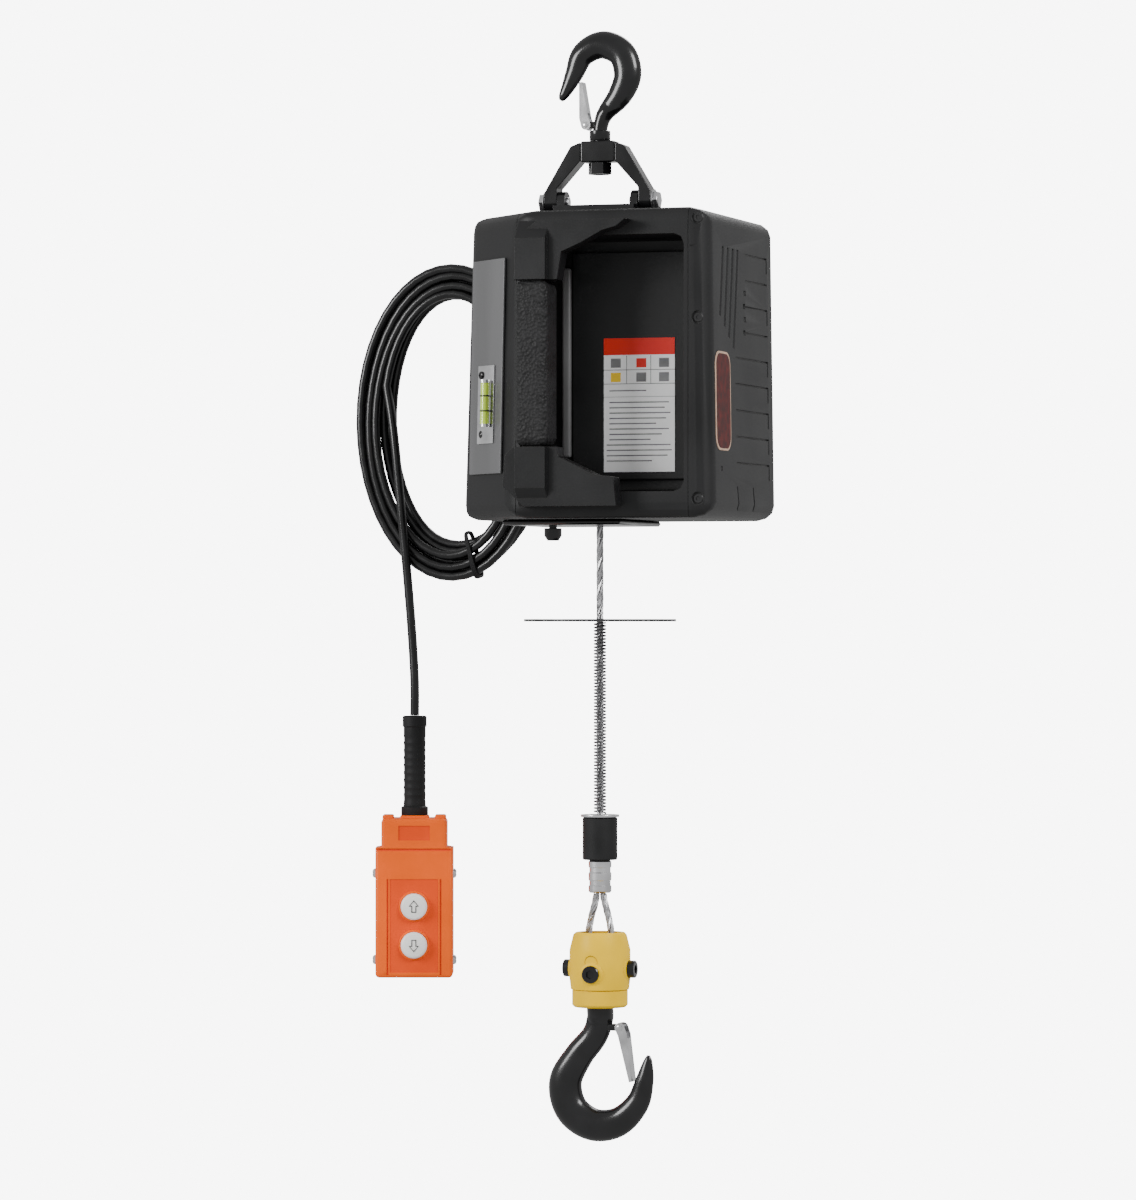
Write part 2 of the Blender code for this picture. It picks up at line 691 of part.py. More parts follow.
def make_frame():
    """Two side plates that hold the drum's bearings and the motor."""
    shafts = (DRUM_Z, COMPOUND_Z, MOTOR_Z)
    bores = (BEARING_R + GAP, 0.0070, 0.0070)
    for side, word in ((-1, "left"), (1, "right")):
        outline = [
            (-0.0050, -0.3540), (0.0850, -0.3540), (0.0850, -0.1780), (0.0700, -0.1660),
            (0.0050, -0.1660), (-0.0050, -0.1780),
        ]
        holes = [circle(bore, (DRUM_Y, z)) for bore, z in zip(bores, shafts)]
        x = side * (FRAME_IN + FRAME_T / 2)
        slab("frame_plate_" + word, [outline] + holes, FRAME_T, facing_x(x, 0, 0), "motor_steel")
        pipe("drum_bearing_" + word, x - FRAME_T / 2, x + FRAME_T / 2, BEARING_R, DRUM_SHAFT_R + GAP,
             (0, DRUM_Y, DRUM_Z), "bright_steel", "X")


def make_drum():
    """Flanged drum on its shaft, the wound rope on it, and the drum gear."""
    axle = (0, DRUM_Y, DRUM_Z)
    gear_side = SLOW_X - GEAR_W / 2
    profile = [
        (0, FRAME_IN + FRAME_T + 0.0040), (DRUM_SHAFT_R, FRAME_IN + FRAME_T + 0.0040),
        (DRUM_SHAFT_R, DRUM_HALF), (FLANGE_R, DRUM_HALF),
        (FLANGE_R, DRUM_HALF - FLANGE_T), (DRUM_CORE_R, DRUM_HALF - FLANGE_T),
        (DRUM_CORE_R, -DRUM_HALF + FLANGE_T), (FLANGE_R, -DRUM_HALF + FLANGE_T),
        (FLANGE_R, -DRUM_HALF), (DRUM_SHAFT_R, -DRUM_HALF),
        (DRUM_SHAFT_R, gear_side - 0.0030), (0, gear_side - 0.0030),
    ]
    turned("rope_drum", profile, axle, "motor_steel", "X", 36)
    turns = math.floor((2 * DRUM_HALF - 2 * FLANGE_T - 2 * GAP) / ROPE_D)
    half = turns * ROPE_D / 2
    outline = []
    for i in range(turns):
        middle = half - (i + 0.5) * ROPE_D
        for share, drop in ((0.5, 0.0012), (0.0, 0.0)):
            outline.append((WINDING_R - drop, middle + share * ROPE_D))
    outline.append((WINDING_R - 0.0012, -half))
    outline += [(DRUM_CORE_R + GAP, outline[-1][1]), (DRUM_CORE_R + GAP, outline[0][1])]
    turned("rope_winding", outline, axle, "rope_steel", "X", 20, ring=True)
    gear("drum_gear", DRUM_TEETH, SLOW_MODULE, DRUM_SHAFT_R + GAP, SLOW_X, DRUM_Z, math.pi / 2, "bright_steel")


def make_compound_gear():
    """Large gear and small pinion cut from one blank, with stub journals."""
    large = gear("compound_gear", LARGE_TEETH, FAST_MODULE, 0, FAST_X, COMPOUND_Z, math.pi / 2, "bright_steel")
    phase = -math.pi / 2 + math.pi / SMALL_TEETH
    small = gear("compound_pinion", SMALL_TEETH, SLOW_MODULE, 0, SLOW_X, COMPOUND_Z, phase)
    boolean(large, small, "UNION")
    step_low = SLOW_X + GEAR_W / 2 - 0.0005
    hub = rod("compound_hub", step_low, FAST_X, 0.0070, (0, DRUM_Y, COMPOUND_Z), axis="X", steps=20)
    stub = rod("compound_stub", SLOW_X - GEAR_W / 2 - 0.0040, FAST_X + GEAR_W / 2 + 0.0060, 0.0050,
               (0, DRUM_Y, COMPOUND_Z), axis="X", steps=16)
    boolean(large, hub, "UNION")
    boolean(large, stub, "UNION")


def make_motor():
    """Motor can with end walls, armature, pinion, fan and brake coil."""
    centre = (0, DRUM_Y, MOTOR_Z)
    inner = MOTOR_R - 0.0030
    wall = MOTOR_HALF - 0.0030
    hole = MOTOR_SHAFT_R + 0.0010
    can = [
        (hole, MOTOR_HALF), (MOTOR_R, MOTOR_HALF), (MOTOR_R, -MOTOR_HALF), (hole, -MOTOR_HALF),
        (hole, -wall), (inner, -wall), (inner, wall), (hole, wall),
    ]
    turned("motor_can", can, centre, "motor_steel", "X", 32, ring=True)
    shaft_left = FAST_X - GEAR_W / 2 - 0.0005
    shaft_right = 0.0840
    core = MOTOR_HALF - 0.0120
    armature = [
        (0, shaft_right), (MOTOR_SHAFT_R, shaft_right), (MOTOR_SHAFT_R, core), (ARMATURE_R, core),
        (ARMATURE_R, -core), (MOTOR_SHAFT_R, -core), (MOTOR_SHAFT_R, shaft_left), (0, shaft_left),
    ]
    turned("motor_armature", armature, centre, "copper", "X", 28)
    phase = -math.pi / 2 + math.pi / PINION_TEETH
    gear("motor_pinion", PINION_TEETH, FAST_MODULE, MOTOR_SHAFT_R + GAP, FAST_X, MOTOR_Z, phase, "bright_steel")
    blades = []
    for i in range(9):
        start = 2 * math.pi * i / 9
        for radius, turn in ((0.012, -0.20), (FAN_R, -0.12), (FAN_R, 0.16), (0.012, 0.08)):
            blades.append((radius * math.cos(start + turn), radius * math.sin(start + turn)))
    bore = circle(MOTOR_SHAFT_R + GAP, count=12)
    slab("motor_fan", [blades, bore], 0.0080, facing_x(0.0560, DRUM_Y, MOTOR_Z), "black_moulding")
    pipe("brake_coil", 0.0660, 0.0800, 0.0280, 0.0080, centre, "copper", "X")


def make_electrics():
    """Control box, start capacitor and the limit switch over its plunger."""
    case = box("control_box", (-0.0380, 0.0050, -0.1620), (0.0380, 0.0650, -0.1360), "black_moulding")
    bevel(case, 0.0020, 1)
    rod("start_capacitor", -0.0050, 0.0400, 0.0140, (0, -0.0240, -0.2100), "motor_steel", "X", 20)
    switch_low = HOUSE_BOTTOM + 0.0180
    box("limit_switch", (PLUNGER.x - 0.0060, PLUNGER.y - 0.0090, switch_low),
        (PLUNGER.x + 0.0100, PLUNGER.y + 0.0090, switch_low + 0.0180), "black_moulding")


def make_underside():
    """Rope guide plate and the limit plunger that hangs through it."""
    top = HOUSE_BOTTOM - GAP
    low = top - PLATE_T
    plate = box("bottom_plate", (-0.0640, -0.0560, low), (0.0340, 0.0560, top), "black_enamel")
    bevel(plate, 0.0015, 1)
    hole = rod("guide_hole", low - 0.01, top + 0.01, 0.0070, (0, 0, 0))
    stem = rod("plunger_hole", low - 0.01, top + 0.01, PLUNGER_STEM_R + GAP, PLUNGER)
    boolean(plate, hole)
    boolean(plate, stem)
    head_top = low - 0.0020
    profile = [
        (0, HOUSE_BOTTOM + 0.0110), (PLUNGER_STEM_R, HOUSE_BOTTOM + 0.0110), (PLUNGER_STEM_R, head_top),
        (PLUNGER_R, head_top), (PLUNGER_R, head_top - 0.0060), (PLUNGER_R - 0.0025, head_top - 0.0100),
        (0, head_top - 0.0100),
    ]
    turned("limit_plunger", profile, PLUNGER, "black_enamel")


def make_rope_and_limit():
    """Rope from the drum to the ferrule, with the disc, spring, washer and buffer on it."""
    split = DISC_TOP + 0.0040
    rope_r = ROPE_D / 2
    rod("rope_run", split, DRUM_Z, rope_r, (0, 0, 0), "rope_steel", steps=12)
    rod("rope_end", FERRULE_TOP + GAP, split - GAP, rope_r, (0, 0, 0), "rope_steel", steps=12)
    bore = rope_r + 0.0005
    pipe("limit_disc", DISC_LOW, DISC_TOP, DISC_R, bore, (0, 0, 0), "bright_steel", steps=48)
    pipe("limit_spring", WASHER_TOP + GAP, DISC_LOW - GAP, SPRING_R, SPRING_R - SPRING_WALL, (0, 0, 0),
         "rope_steel", steps=16)
    pipe("spring_washer", WASHER_TOP - WASHER_T, WASHER_TOP, WASHER_R, bore, (0, 0, 0), "bright_steel")
    pipe("rubber_buffer", BUFFER_TOP - BUFFER_LEN, BUFFER_TOP, BUFFER_R, bore, (0, 0, 0), "black_rubber", steps=28)
    ferrule = [
        (0, FERRULE_TOP), (FERRULE_R - 0.001, FERRULE_TOP), (FERRULE_R, FERRULE_TOP - 0.002),
        (FERRULE_R, FERRULE_LOW + 0.002), (FERRULE_R - 0.001, FERRULE_LOW), (0, FERRULE_LOW),
    ]
    turned("ferrule", ferrule, (0, 0, 0), "bright_steel")
    leg = rope_r + GAP
    swing = EYE_PIN_R + GAP + rope_r + 0.0003
    top = FERRULE_LOW - 2 * GAP
    route = [(-leg, 0, top), (-leg, 0, top - 0.0040), (-swing, 0, top - 0.0280), (-swing, 0, EYE_PIN_Z + 0.004)]
    for i in range(1, 8):
        angle = math.pi + math.pi * i / 8
        route.append((swing * math.cos(angle), 0, EYE_PIN_Z + swing * math.sin(angle)))
    route += [(-x, y, z) for x, y, z in reversed(route[:4])]
    cord_tube("rope_eye", route, ROPE_D, "rope_steel")


def make_hook_block():
    """Yellow casing round the rope eye and its pin, closed below by a collar."""
    top_r = CASING_R - 0.0030
    casing = [
        (top_r - 0.002, CASING_TOP), (top_r, CASING_TOP - 0.002), (CASING_R, CASING_TOP - 0.014),
        (CASING_R, CASING_LOW + 0.009), (COLLAR_R + 0.001, CASING_LOW), (CASING_BORE, CASING_LOW),
        (CASING_BORE, CASING_TOP - 0.004), (CASING_BORE - 0.002, CASING_TOP),
    ]
    body = turned("block_casing", casing, (0, 0, 0), "yellow_paint", steps=32, ring=True)
    bore = rod("eye_pin_bore", -0.03, 0.03, EYE_PIN_R + GAP, (0, 0, EYE_PIN_Z), axis="Y", steps=16)
    boolean(body, bore)
    rod("eye_pin", -CASING_R + 0.001, CASING_R - 0.001, EYE_PIN_R, (0, 0, EYE_PIN_Z), "bright_steel", "Y", 16)
    collar = [
        (COLLAR_R, COLLAR_TOP), (COLLAR_R, COLLAR_LOW + 0.002), (COLLAR_R - 0.002, COLLAR_LOW),
        (LOAD_SHANK_R + 0.0004, COLLAR_LOW), (LOAD_SHANK_R + 0.0004, COLLAR_TOP),
    ]
    turned("block_collar", collar, (0, 0, 0), "yellow_paint", steps=32, ring=True)


def make_load_hook():
    """Forged load hook, open to the right, with its head inside the block."""
    z = LOAD_BOWL_Z
    points = [
        (0.0, 0, COLLAR_TOP + 0.0060, LOAD_SHANK_R),
        (0.0, 0, COLLAR_LOW + 0.0010, LOAD_SHANK_R),
        (0.0, 0, COLLAR_LOW - 0.0100, LOAD_SHANK_R),
        (-0.0050, 0, z + 0.0380, 0.0108),
        (-0.0180, 0, z + 0.0220, 0.0118),
        (-0.0290, 0, z + 0.0010, 0.0135),
        (-0.0240, 0, z - 0.0205, 0.0138),
        (-0.0060, 0, z - 0.0325, 0.0132),
        (0.0150, 0, z - 0.0300, 0.0118),
        (0.0310, 0, z - 0.0150, 0.0098),
        (0.0372, 0, z + 0.0030, 0.0076),
        (0.0395, 0, z + 0.0150, 0.0050),
        (0.0405, 0, z + 0.0215, 0.0028),
    ]
    hook = bar("load_hook", points, "black_enamel", origin=(0, 0, COLLAR_LOW))
    for vert in hook.data.vertices:
        if vert.co.z < -0.014:
            vert.co.y *= HOOK_FLAT
    head_low = COLLAR_TOP + GAP
    head = rod("load_head", head_low, head_low + 0.0080, LOAD_HEAD_R, (0, 0, 0), steps=24)
    boolean(hook, head, "UNION")
    pivot = Vector((0.0180, 0, COLLAR_LOW - 0.0160))
    latch_set("load_latch", pivot, 0.0440, math.radians(-12), 0.0120, 0.0, hook)


def make_lead():
    """Pendant lead: gland, run to the coil, coil, hanger and the drop to the pendant."""
    length = 0.0180
    bore = LEAD_D / 2
    gland = [(0, length), (bore + 0.002, length), (0.0100, 0.0060), (0.0100, 0.0), (0, 0.0)]
    turned("lead_gland", gland, LEAD_EXIT, "black_rubber", "Y", 20)
    start = LEAD_EXIT + Vector((0, length + GAP, 0))
    outline = []
    inner = []
    for i in range(48):
        angle = 2 * math.pi * i / 48
        outline.append((COIL_HALF_W * math.cos(angle), COIL_HALF_H * math.sin(angle)))
        across = (COIL_HALF_W - COIL_BAND) * math.cos(angle)
        inner.append((across, (COIL_HALF_H - COIL_BAND) * math.sin(angle)))
    slab("pendant_coil", [outline, inner], COIL_T, facing_y(COIL_X, COIL_Y, COIL_Z), "black_rubber")
    back = COIL_FRONT + COIL_T + GAP + bore
    top_run = [
        start, start + Vector((0, 0.012, 0)), (-0.0290, 0.1430, -0.3365), (-0.0480, 0.1520, -0.3370),
        (-0.0680, 0.1490, -0.3290), (-0.0860, 0.1380, -0.3130), (-0.0960, 0.1265, -0.2900),
        (-0.0985, back, -0.2650), (-0.0985, back, -0.2450),
    ]
    cord_tube("pendant_lead_top", top_run, LEAD_D, "black_rubber")
    front = COIL_FRONT - GAP - bore
    relief_top = PENDANT_TOP + RELIEF_LEN
    drop = [
        (-0.2165, front, -0.2560), (-0.2115, front, -0.2900), (-0.2045, front, -0.3500),
        (-0.1985, front, -0.4100), (-0.1940, front - 0.0006, -0.4600), (PENDANT_X, PENDANT_Y, -0.5000),
        (PENDANT_X, PENDANT_Y, relief_top + GAP),
    ]
    cord_tube("pendant_lead_drop", drop, LEAD_D, "black_rubber")


def make_hanger():
    """Steel clip on the housing's back that clasps the coil's near side."""
    face = HOUSE_BACK + GAP
    thick = 0.0026
    rear = COIL_FRONT + COIL_T + 0.0007
    right = COIL_X + COIL_HALF_W + 0.0008
    left = HOUSE_LEFT + 0.0020
    outline = [
        (left, face), (right + thick, face), (right + thick, rear + thick), (left, rear + thick),
        (left, rear), (right, rear), (right, face + thick), (left, face + thick),
    ]
    place = Matrix.Translation((0, 0, COIL_Z - 0.0400))
    slab("cord_hanger", [outline], 0.0200, place, "black_enamel")


def pendant_matrix():
    return Matrix.Translation((PENDANT_X, PENDANT_Y, PENDANT_TOP)) @ Matrix.Rotation(PENDANT_TURN, 4, "Z")


def pendant_box(name, low, high, material=None):
    thing = box(name, low, high, material, origin=(0, 0, 0))
    thing.matrix_world = pendant_matrix()
    return thing


def make_pendant():
    """Two-button pendant: strain relief, two case halves, switch block and buttons."""
    relief = [
        (LEAD_D / 2 + GAP, RELIEF_LEN), (0.0100, RELIEF_LEN), (0.0100, RELIEF_LEN - 0.0080),
        (RELIEF_R, RELIEF_LEN - 0.0090), (RELIEF_R, 0.0100), (0.0112, 0.0090), (0.0112, GAP),
        (LEAD_D / 2 + GAP, GAP),
    ]
    turned("strain_relief", relief, (PENDANT_X, PENDANT_Y, PENDANT_TOP), "black_rubber", ring=True)
    half_w = PENDANT_W / 2
    half_d = PENDANT_D / 2
    seam = 0.0040
    wall = 0.0025
    front = pendant_box("pendant_front", (-half_w, -half_d, -PENDANT_H), (half_w, seam, 0), "orange_case")
    back = pendant_box("pendant_back", (-half_w, seam + GAP, -PENDANT_H), (half_w, half_d, 0), "orange_case")
    bevel(front, 0.0030, 2)
    bevel(back, 0.0030, 2)
    room = pendant_box("pendant_room", (-half_w + wall, -half_d + wall, -PENDANT_H + wall),
                       (half_w - wall, half_d - wall, -wall))
    boolean(front, room)
    boolean(back, room)
    block_top = -0.0580
    pendant_box("pendant_switches", (-0.0150, -half_d + 0.0110, block_top - 0.0650),
                (0.0150, half_d - wall - GAP, block_top), "black_moulding")
    middle = -0.0885
    for name, side in (("button_up", 0.5), ("button_down", -0.5)):
        height = middle + side * BUTTON_PITCH
        bore = BUTTON_R + 0.0004
        hole = rod(name + "_hole", -half_d - 0.01, -half_d + wall + 0.002, bore, (0, 0, 0), axis="Y")
        lift = Matrix.Translation((0, 0, height))
        hole.matrix_world = pendant_matrix() @ lift @ axis_matrix("Y", (0, 0, 0))
        boolean(front, hole)
        cap = rod(name, -half_d - 0.0050, -half_d + 0.0055, BUTTON_R, (0, 0, 0), "white_button", "Y", 28)
        cap.matrix_world = hole.matrix_world.copy()


def build():
    global PARTS, CUTTERS
    clear_scene()
    PARTS = make_collection("electric_wire_rope_hoist")
    CUTTERS = make_collection("cutters")
    make_materials()
    make_suspension_hook()
    make_yoke()
    make_top_bracket()
    make_shells()
    make_front_panel()
    make_level()
    make_handle()
    make_frame()
    make_drum()
    make_compound_gear()
    make_motor()
    make_electrics()
    make_underside()
    make_rope_and_limit()
    make_hook_block()
    make_load_hook()
    make_lead()
    make_hanger()
    make_pendant()
    for thing in PARTS.objects:
        thing.data.shade_smooth()
        thing.data.set_sharp_from_angle(angle=SMOOTH_BELOW)
    bpy.context.view_layer.update()


build()
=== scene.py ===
"""Looks of the portable electric wire rope hoist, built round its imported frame."""

import json
import math

import bpy
from mathutils import Matrix, Vector

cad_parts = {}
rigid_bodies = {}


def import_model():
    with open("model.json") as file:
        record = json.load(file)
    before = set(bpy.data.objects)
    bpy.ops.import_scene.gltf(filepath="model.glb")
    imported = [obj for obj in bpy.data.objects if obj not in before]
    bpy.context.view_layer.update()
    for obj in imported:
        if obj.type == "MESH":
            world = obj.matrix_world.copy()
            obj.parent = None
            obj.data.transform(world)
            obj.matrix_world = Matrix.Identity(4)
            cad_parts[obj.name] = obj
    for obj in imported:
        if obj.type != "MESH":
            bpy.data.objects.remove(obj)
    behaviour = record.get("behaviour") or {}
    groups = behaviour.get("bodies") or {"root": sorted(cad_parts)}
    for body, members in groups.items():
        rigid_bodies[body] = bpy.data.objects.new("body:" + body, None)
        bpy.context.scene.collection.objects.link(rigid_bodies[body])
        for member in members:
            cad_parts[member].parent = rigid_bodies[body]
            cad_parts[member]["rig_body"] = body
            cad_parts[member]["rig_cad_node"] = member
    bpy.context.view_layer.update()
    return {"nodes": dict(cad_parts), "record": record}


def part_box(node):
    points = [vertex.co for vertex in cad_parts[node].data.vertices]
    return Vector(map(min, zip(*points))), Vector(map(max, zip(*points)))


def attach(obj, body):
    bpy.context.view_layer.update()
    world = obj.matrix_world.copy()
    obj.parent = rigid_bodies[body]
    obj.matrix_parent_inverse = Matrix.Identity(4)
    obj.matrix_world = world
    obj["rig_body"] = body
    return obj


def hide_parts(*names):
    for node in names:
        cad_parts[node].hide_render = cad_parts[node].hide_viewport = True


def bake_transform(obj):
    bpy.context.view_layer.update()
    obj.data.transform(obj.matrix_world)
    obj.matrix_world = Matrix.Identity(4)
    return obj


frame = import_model()

bl_info = {
    "name": "Electric wire rope hoist",
    "version": (1, 0, 0),
    "blender": (4, 5, 0),
    "location": "3D View > Sidebar > Hoist",
    "description": "Builds the housing, hooks, rope, lead and pendant of a portable hoist",
    "category": "Add Mesh",
}


class HoistSizes(bpy.types.PropertyGroup):
    """Sizes that a user of the hoist might change."""

    edge: bpy.props.FloatProperty(name="Edge break", description="Rounding of small edges", default=0.0006,
                                  unit="LENGTH")
    rope: bpy.props.FloatProperty(name="Rope", description="Diameter of the wire rope", default=0.0060,
                                  unit="LENGTH")
    rope_lay: bpy.props.FloatProperty(name="Rope lay", description="Length of one turn of a strand",
                                      default=0.0380, unit="LENGTH")
    lead: bpy.props.FloatProperty(name="Lead", description="Diameter of the pendant lead", default=0.0075,
                                  unit="LENGTH")
    spring_wire: bpy.props.FloatProperty(name="Spring wire", description="Wire of the limit spring",
                                         default=0.0014, unit="LENGTH")
    spring_turns: bpy.props.IntProperty(name="Spring turns", description="Coils of the limit spring", default=58)
    camera_turn: bpy.props.FloatProperty(name="Camera turn", description="Camera's turn round the load line",
                                         default=math.radians(18), subtype="ANGLE")


class HoistColours(bpy.types.PropertyGroup):
    """Base colours of the finishes."""

    moulding: bpy.props.FloatVectorProperty(name="Moulding", description="Housing plastic", size=3,
                                            subtype="COLOR", default=(0.0075, 0.0075, 0.0080))
    # The facet panel's pale grey stands in for light: a painted reflection of the left lamp on a dark facet.
    facet: bpy.props.FloatVectorProperty(name="Facet panel", description="Pale side panel", size=3,
                                         subtype="COLOR", default=(0.120, 0.120, 0.123))
    enamel: bpy.props.FloatVectorProperty(name="Enamel", description="Black forgings", size=3, subtype="COLOR",
                                          default=(0.0032, 0.0032, 0.0036))
    yellow: bpy.props.FloatVectorProperty(name="Block", description="Hook block paint", size=3, subtype="COLOR",
                                          default=(0.920, 0.570, 0.000))
    orange: bpy.props.FloatVectorProperty(name="Pendant", description="Pendant case", size=3, subtype="COLOR",
                                          default=(0.900, 0.115, 0.000))
    inset: bpy.props.FloatVectorProperty(name="Pendant inset", description="Deeper orange round the buttons",
                                         size=3, subtype="COLOR", default=(0.800, 0.062, 0.000))
    red: bpy.props.FloatVectorProperty(name="Label band", description="Band of the label", size=3,
                                       subtype="COLOR", default=(0.700, 0.016, 0.008))


def sizes():
    return bpy.context.scene.hoist_sizes


def colours():
    return bpy.context.scene.hoist_colours


# ---------------------------------------------------------------- finishes

FINISHES = {}


def surface(name, colour, roughness, metallic=0.0, scale=60.0, vary=0.25, grain=900.0, bump=0.15, coat=0.0,
            stretch=(1.0, 1.0, 1.0), depth=0.0004, rough_vary=0.12, gleam=0.5):
    """A finish with cloudy colour, uneven gloss and a fine grain, on object coordinates."""
    if name in FINISHES:
        return FINISHES[name]
    material = bpy.data.materials.new(name)
    material.use_nodes = True
    nodes = material.node_tree.nodes
    links = material.node_tree.links
    shader = nodes["Principled BSDF"]
    shader.inputs["Metallic"].default_value = metallic
    shader.inputs["Coat Weight"].default_value = coat
    shader.inputs["Coat Roughness"].default_value = 0.12
    shader.inputs["Specular IOR Level"].default_value = gleam
    place = nodes.new("ShaderNodeTexCoord")
    squeeze = nodes.new("ShaderNodeMapping")
    squeeze.inputs["Scale"].default_value = stretch
    links.new(place.outputs["Object"], squeeze.inputs["Vector"])
    cloud = nodes.new("ShaderNodeTexNoise")
    cloud.inputs["Scale"].default_value = scale
    cloud.inputs["Detail"].default_value = 5.0
    links.new(squeeze.outputs["Vector"], cloud.inputs["Vector"])
    tint = nodes.new("ShaderNodeValToRGB")
    tint.color_ramp.elements[0].position = 0.30
    tint.color_ramp.elements[1].position = 0.72
    tint.color_ramp.elements[0].color = (*[c * (1 - vary) for c in colour], 1.0)
    tint.color_ramp.elements[1].color = (*[min(1.0, c * (1 + vary) + 0.002) for c in colour], 1.0)
    links.new(cloud.outputs["Fac"], tint.inputs["Fac"])
    links.new(tint.outputs["Color"], shader.inputs["Base Color"])
    gloss = nodes.new("ShaderNodeMapRange")
    gloss.inputs["To Min"].default_value = max(0.03, roughness - rough_vary)
    gloss.inputs["To Max"].default_value = min(1.0, roughness + rough_vary)
    links.new(cloud.outputs["Fac"], gloss.inputs["Value"])
    links.new(gloss.outputs["Result"], shader.inputs["Roughness"])
    fine = nodes.new("ShaderNodeTexNoise")
    fine.inputs["Scale"].default_value = grain
    fine.inputs["Detail"].default_value = 3.0
    links.new(squeeze.outputs["Vector"], fine.inputs["Vector"])
    relief = nodes.new("ShaderNodeBump")
    relief.inputs["Strength"].default_value = bump
    relief.inputs["Distance"].default_value = depth
    links.new(fine.outputs["Fac"], relief.inputs["Height"])
    links.new(relief.outputs["Normal"], shader.inputs["Normal"])
    FINISHES[name] = material
    return material


def grip_rubber():
    """Black rubber with a raised pebble texture."""
    if "grip_rubber" in FINISHES:
        return FINISHES["grip_rubber"]
    material = surface("grip_rubber", (0.0095, 0.0095, 0.0100), 0.60, vary=0.45, scale=90, rough_vary=0.2,
                       gleam=0.30)
    nodes = material.node_tree.nodes
    links = material.node_tree.links
    place = nodes["Texture Coordinate"]
    cells = nodes.new("ShaderNodeTexVoronoi")
    cells.inputs["Scale"].default_value = 420.0
    links.new(place.outputs["Object"], cells.inputs["Vector"])
    relief = nodes["Bump"]
    relief.inputs["Strength"].default_value = 0.9
    relief.inputs["Distance"].default_value = 0.0012
    links.new(cells.outputs["Distance"], relief.inputs["Height"])
    return material


def make_finishes():
    """Every finish of the hoist, named for what it covers."""
    tone = colours()
    surface("housing_plastic", tone.moulding, 0.50, scale=14, vary=0.22, grain=1500, bump=0.22, depth=0.0003,
            gleam=0.26)
    surface("recess_plastic", (0.0100, 0.0100, 0.0105), 0.44, scale=14, vary=0.25, grain=1500, bump=0.15,
            gleam=0.30)
    surface("knuckle_plastic", (0.0075, 0.0075, 0.0080), 0.38, scale=18, vary=0.25, grain=1300, bump=0.14,
            gleam=0.30)
    # Pale grey of the bar beside the front panel is a painted highlight where light catches that edge.
    surface("painted_highlight_grey", (0.130, 0.130, 0.132), 0.34, scale=18, vary=0.15, grain=1300, bump=0.08)
    # The facet panel's grey base colour is a painted reflection of the left lamp on a dark satin facet.
    surface("facet_painted_reflection", tone.facet, 0.40, metallic=0.20, scale=22, vary=0.16, grain=700, bump=0.08,
            stretch=(1.0, 1.0, 0.08))
    surface("black_enamel", tone.enamel, 0.24, scale=45, vary=0.5, grain=260, bump=0.10, coat=0.35, depth=0.0006,
            gleam=0.30)
    surface("cord_rubber", (0.0045, 0.0045, 0.0048), 0.30, scale=70, vary=0.3, grain=800, bump=0.10, coat=0.12,
            gleam=0.35)
    surface("dull_rubber", (0.0085, 0.0085, 0.0090), 0.60, scale=60, vary=0.3, grain=900, bump=0.25, gleam=0.25)
    surface("zinc_steel", (0.640, 0.640, 0.650), 0.26, metallic=1.0, scale=55, vary=0.18, grain=500, bump=0.10)
    surface("dark_disc", (0.060, 0.060, 0.062), 0.34, metallic=0.7, scale=30, vary=0.4, grain=400, bump=0.08)
    surface("rope_wire", (0.560, 0.560, 0.570), 0.34, metallic=1.0, scale=240, vary=0.30, grain=2200, bump=0.35)
    surface("spring_wire", (0.150, 0.150, 0.155), 0.34, metallic=1.0, scale=120, vary=0.3, grain=900, bump=0.15)
    surface("block_yellow", tone.yellow, 0.42, scale=40, vary=0.05, grain=420, bump=0.10, gleam=0.15)
    surface("case_orange", tone.orange, 0.42, scale=35, vary=0.06, grain=1100, bump=0.14, gleam=0.18)
    surface("case_inset", tone.inset, 0.42, scale=35, vary=0.07, grain=1100, bump=0.14, gleam=0.25)
    surface("button_white", (0.900, 0.890, 0.860), 0.30, scale=50, vary=0.05, grain=900, bump=0.05)
    surface("arrow_black", (0.012, 0.012, 0.012), 0.50, scale=50, vary=0.3)
    surface("level_fluid", (0.560, 0.780, 0.060), 0.12, scale=60, vary=0.12, grain=300, bump=0.03, coat=0.8)
    surface("label_white", (0.900, 0.900, 0.900), 0.45, scale=30, vary=0.05, grain=900, bump=0.04)
    surface("label_grey", (0.160, 0.160, 0.165), 0.50, scale=60, vary=0.3)
    surface("label_red", tone.red, 0.42, scale=30, vary=0.08, gleam=0.3)
    surface("label_amber", (0.850, 0.560, 0.020), 0.42, scale=30, vary=0.10, gleam=0.3)
    surface("badge_red", (0.060, 0.006, 0.005), 0.45, scale=160, vary=0.6, rough_vary=0.05, gleam=0.10)
    surface("badge_rim", (0.450, 0.300, 0.220), 0.45, scale=60, vary=0.2, gleam=0.2)
    surface("motor_grey", (0.140, 0.145, 0.155), 0.45, metallic=0.6, scale=40, vary=0.25)
    surface("winding_copper", (0.600, 0.240, 0.090), 0.38, metallic=0.9, scale=90, vary=0.3, grain=1500, bump=0.3)
    grip_rubber()


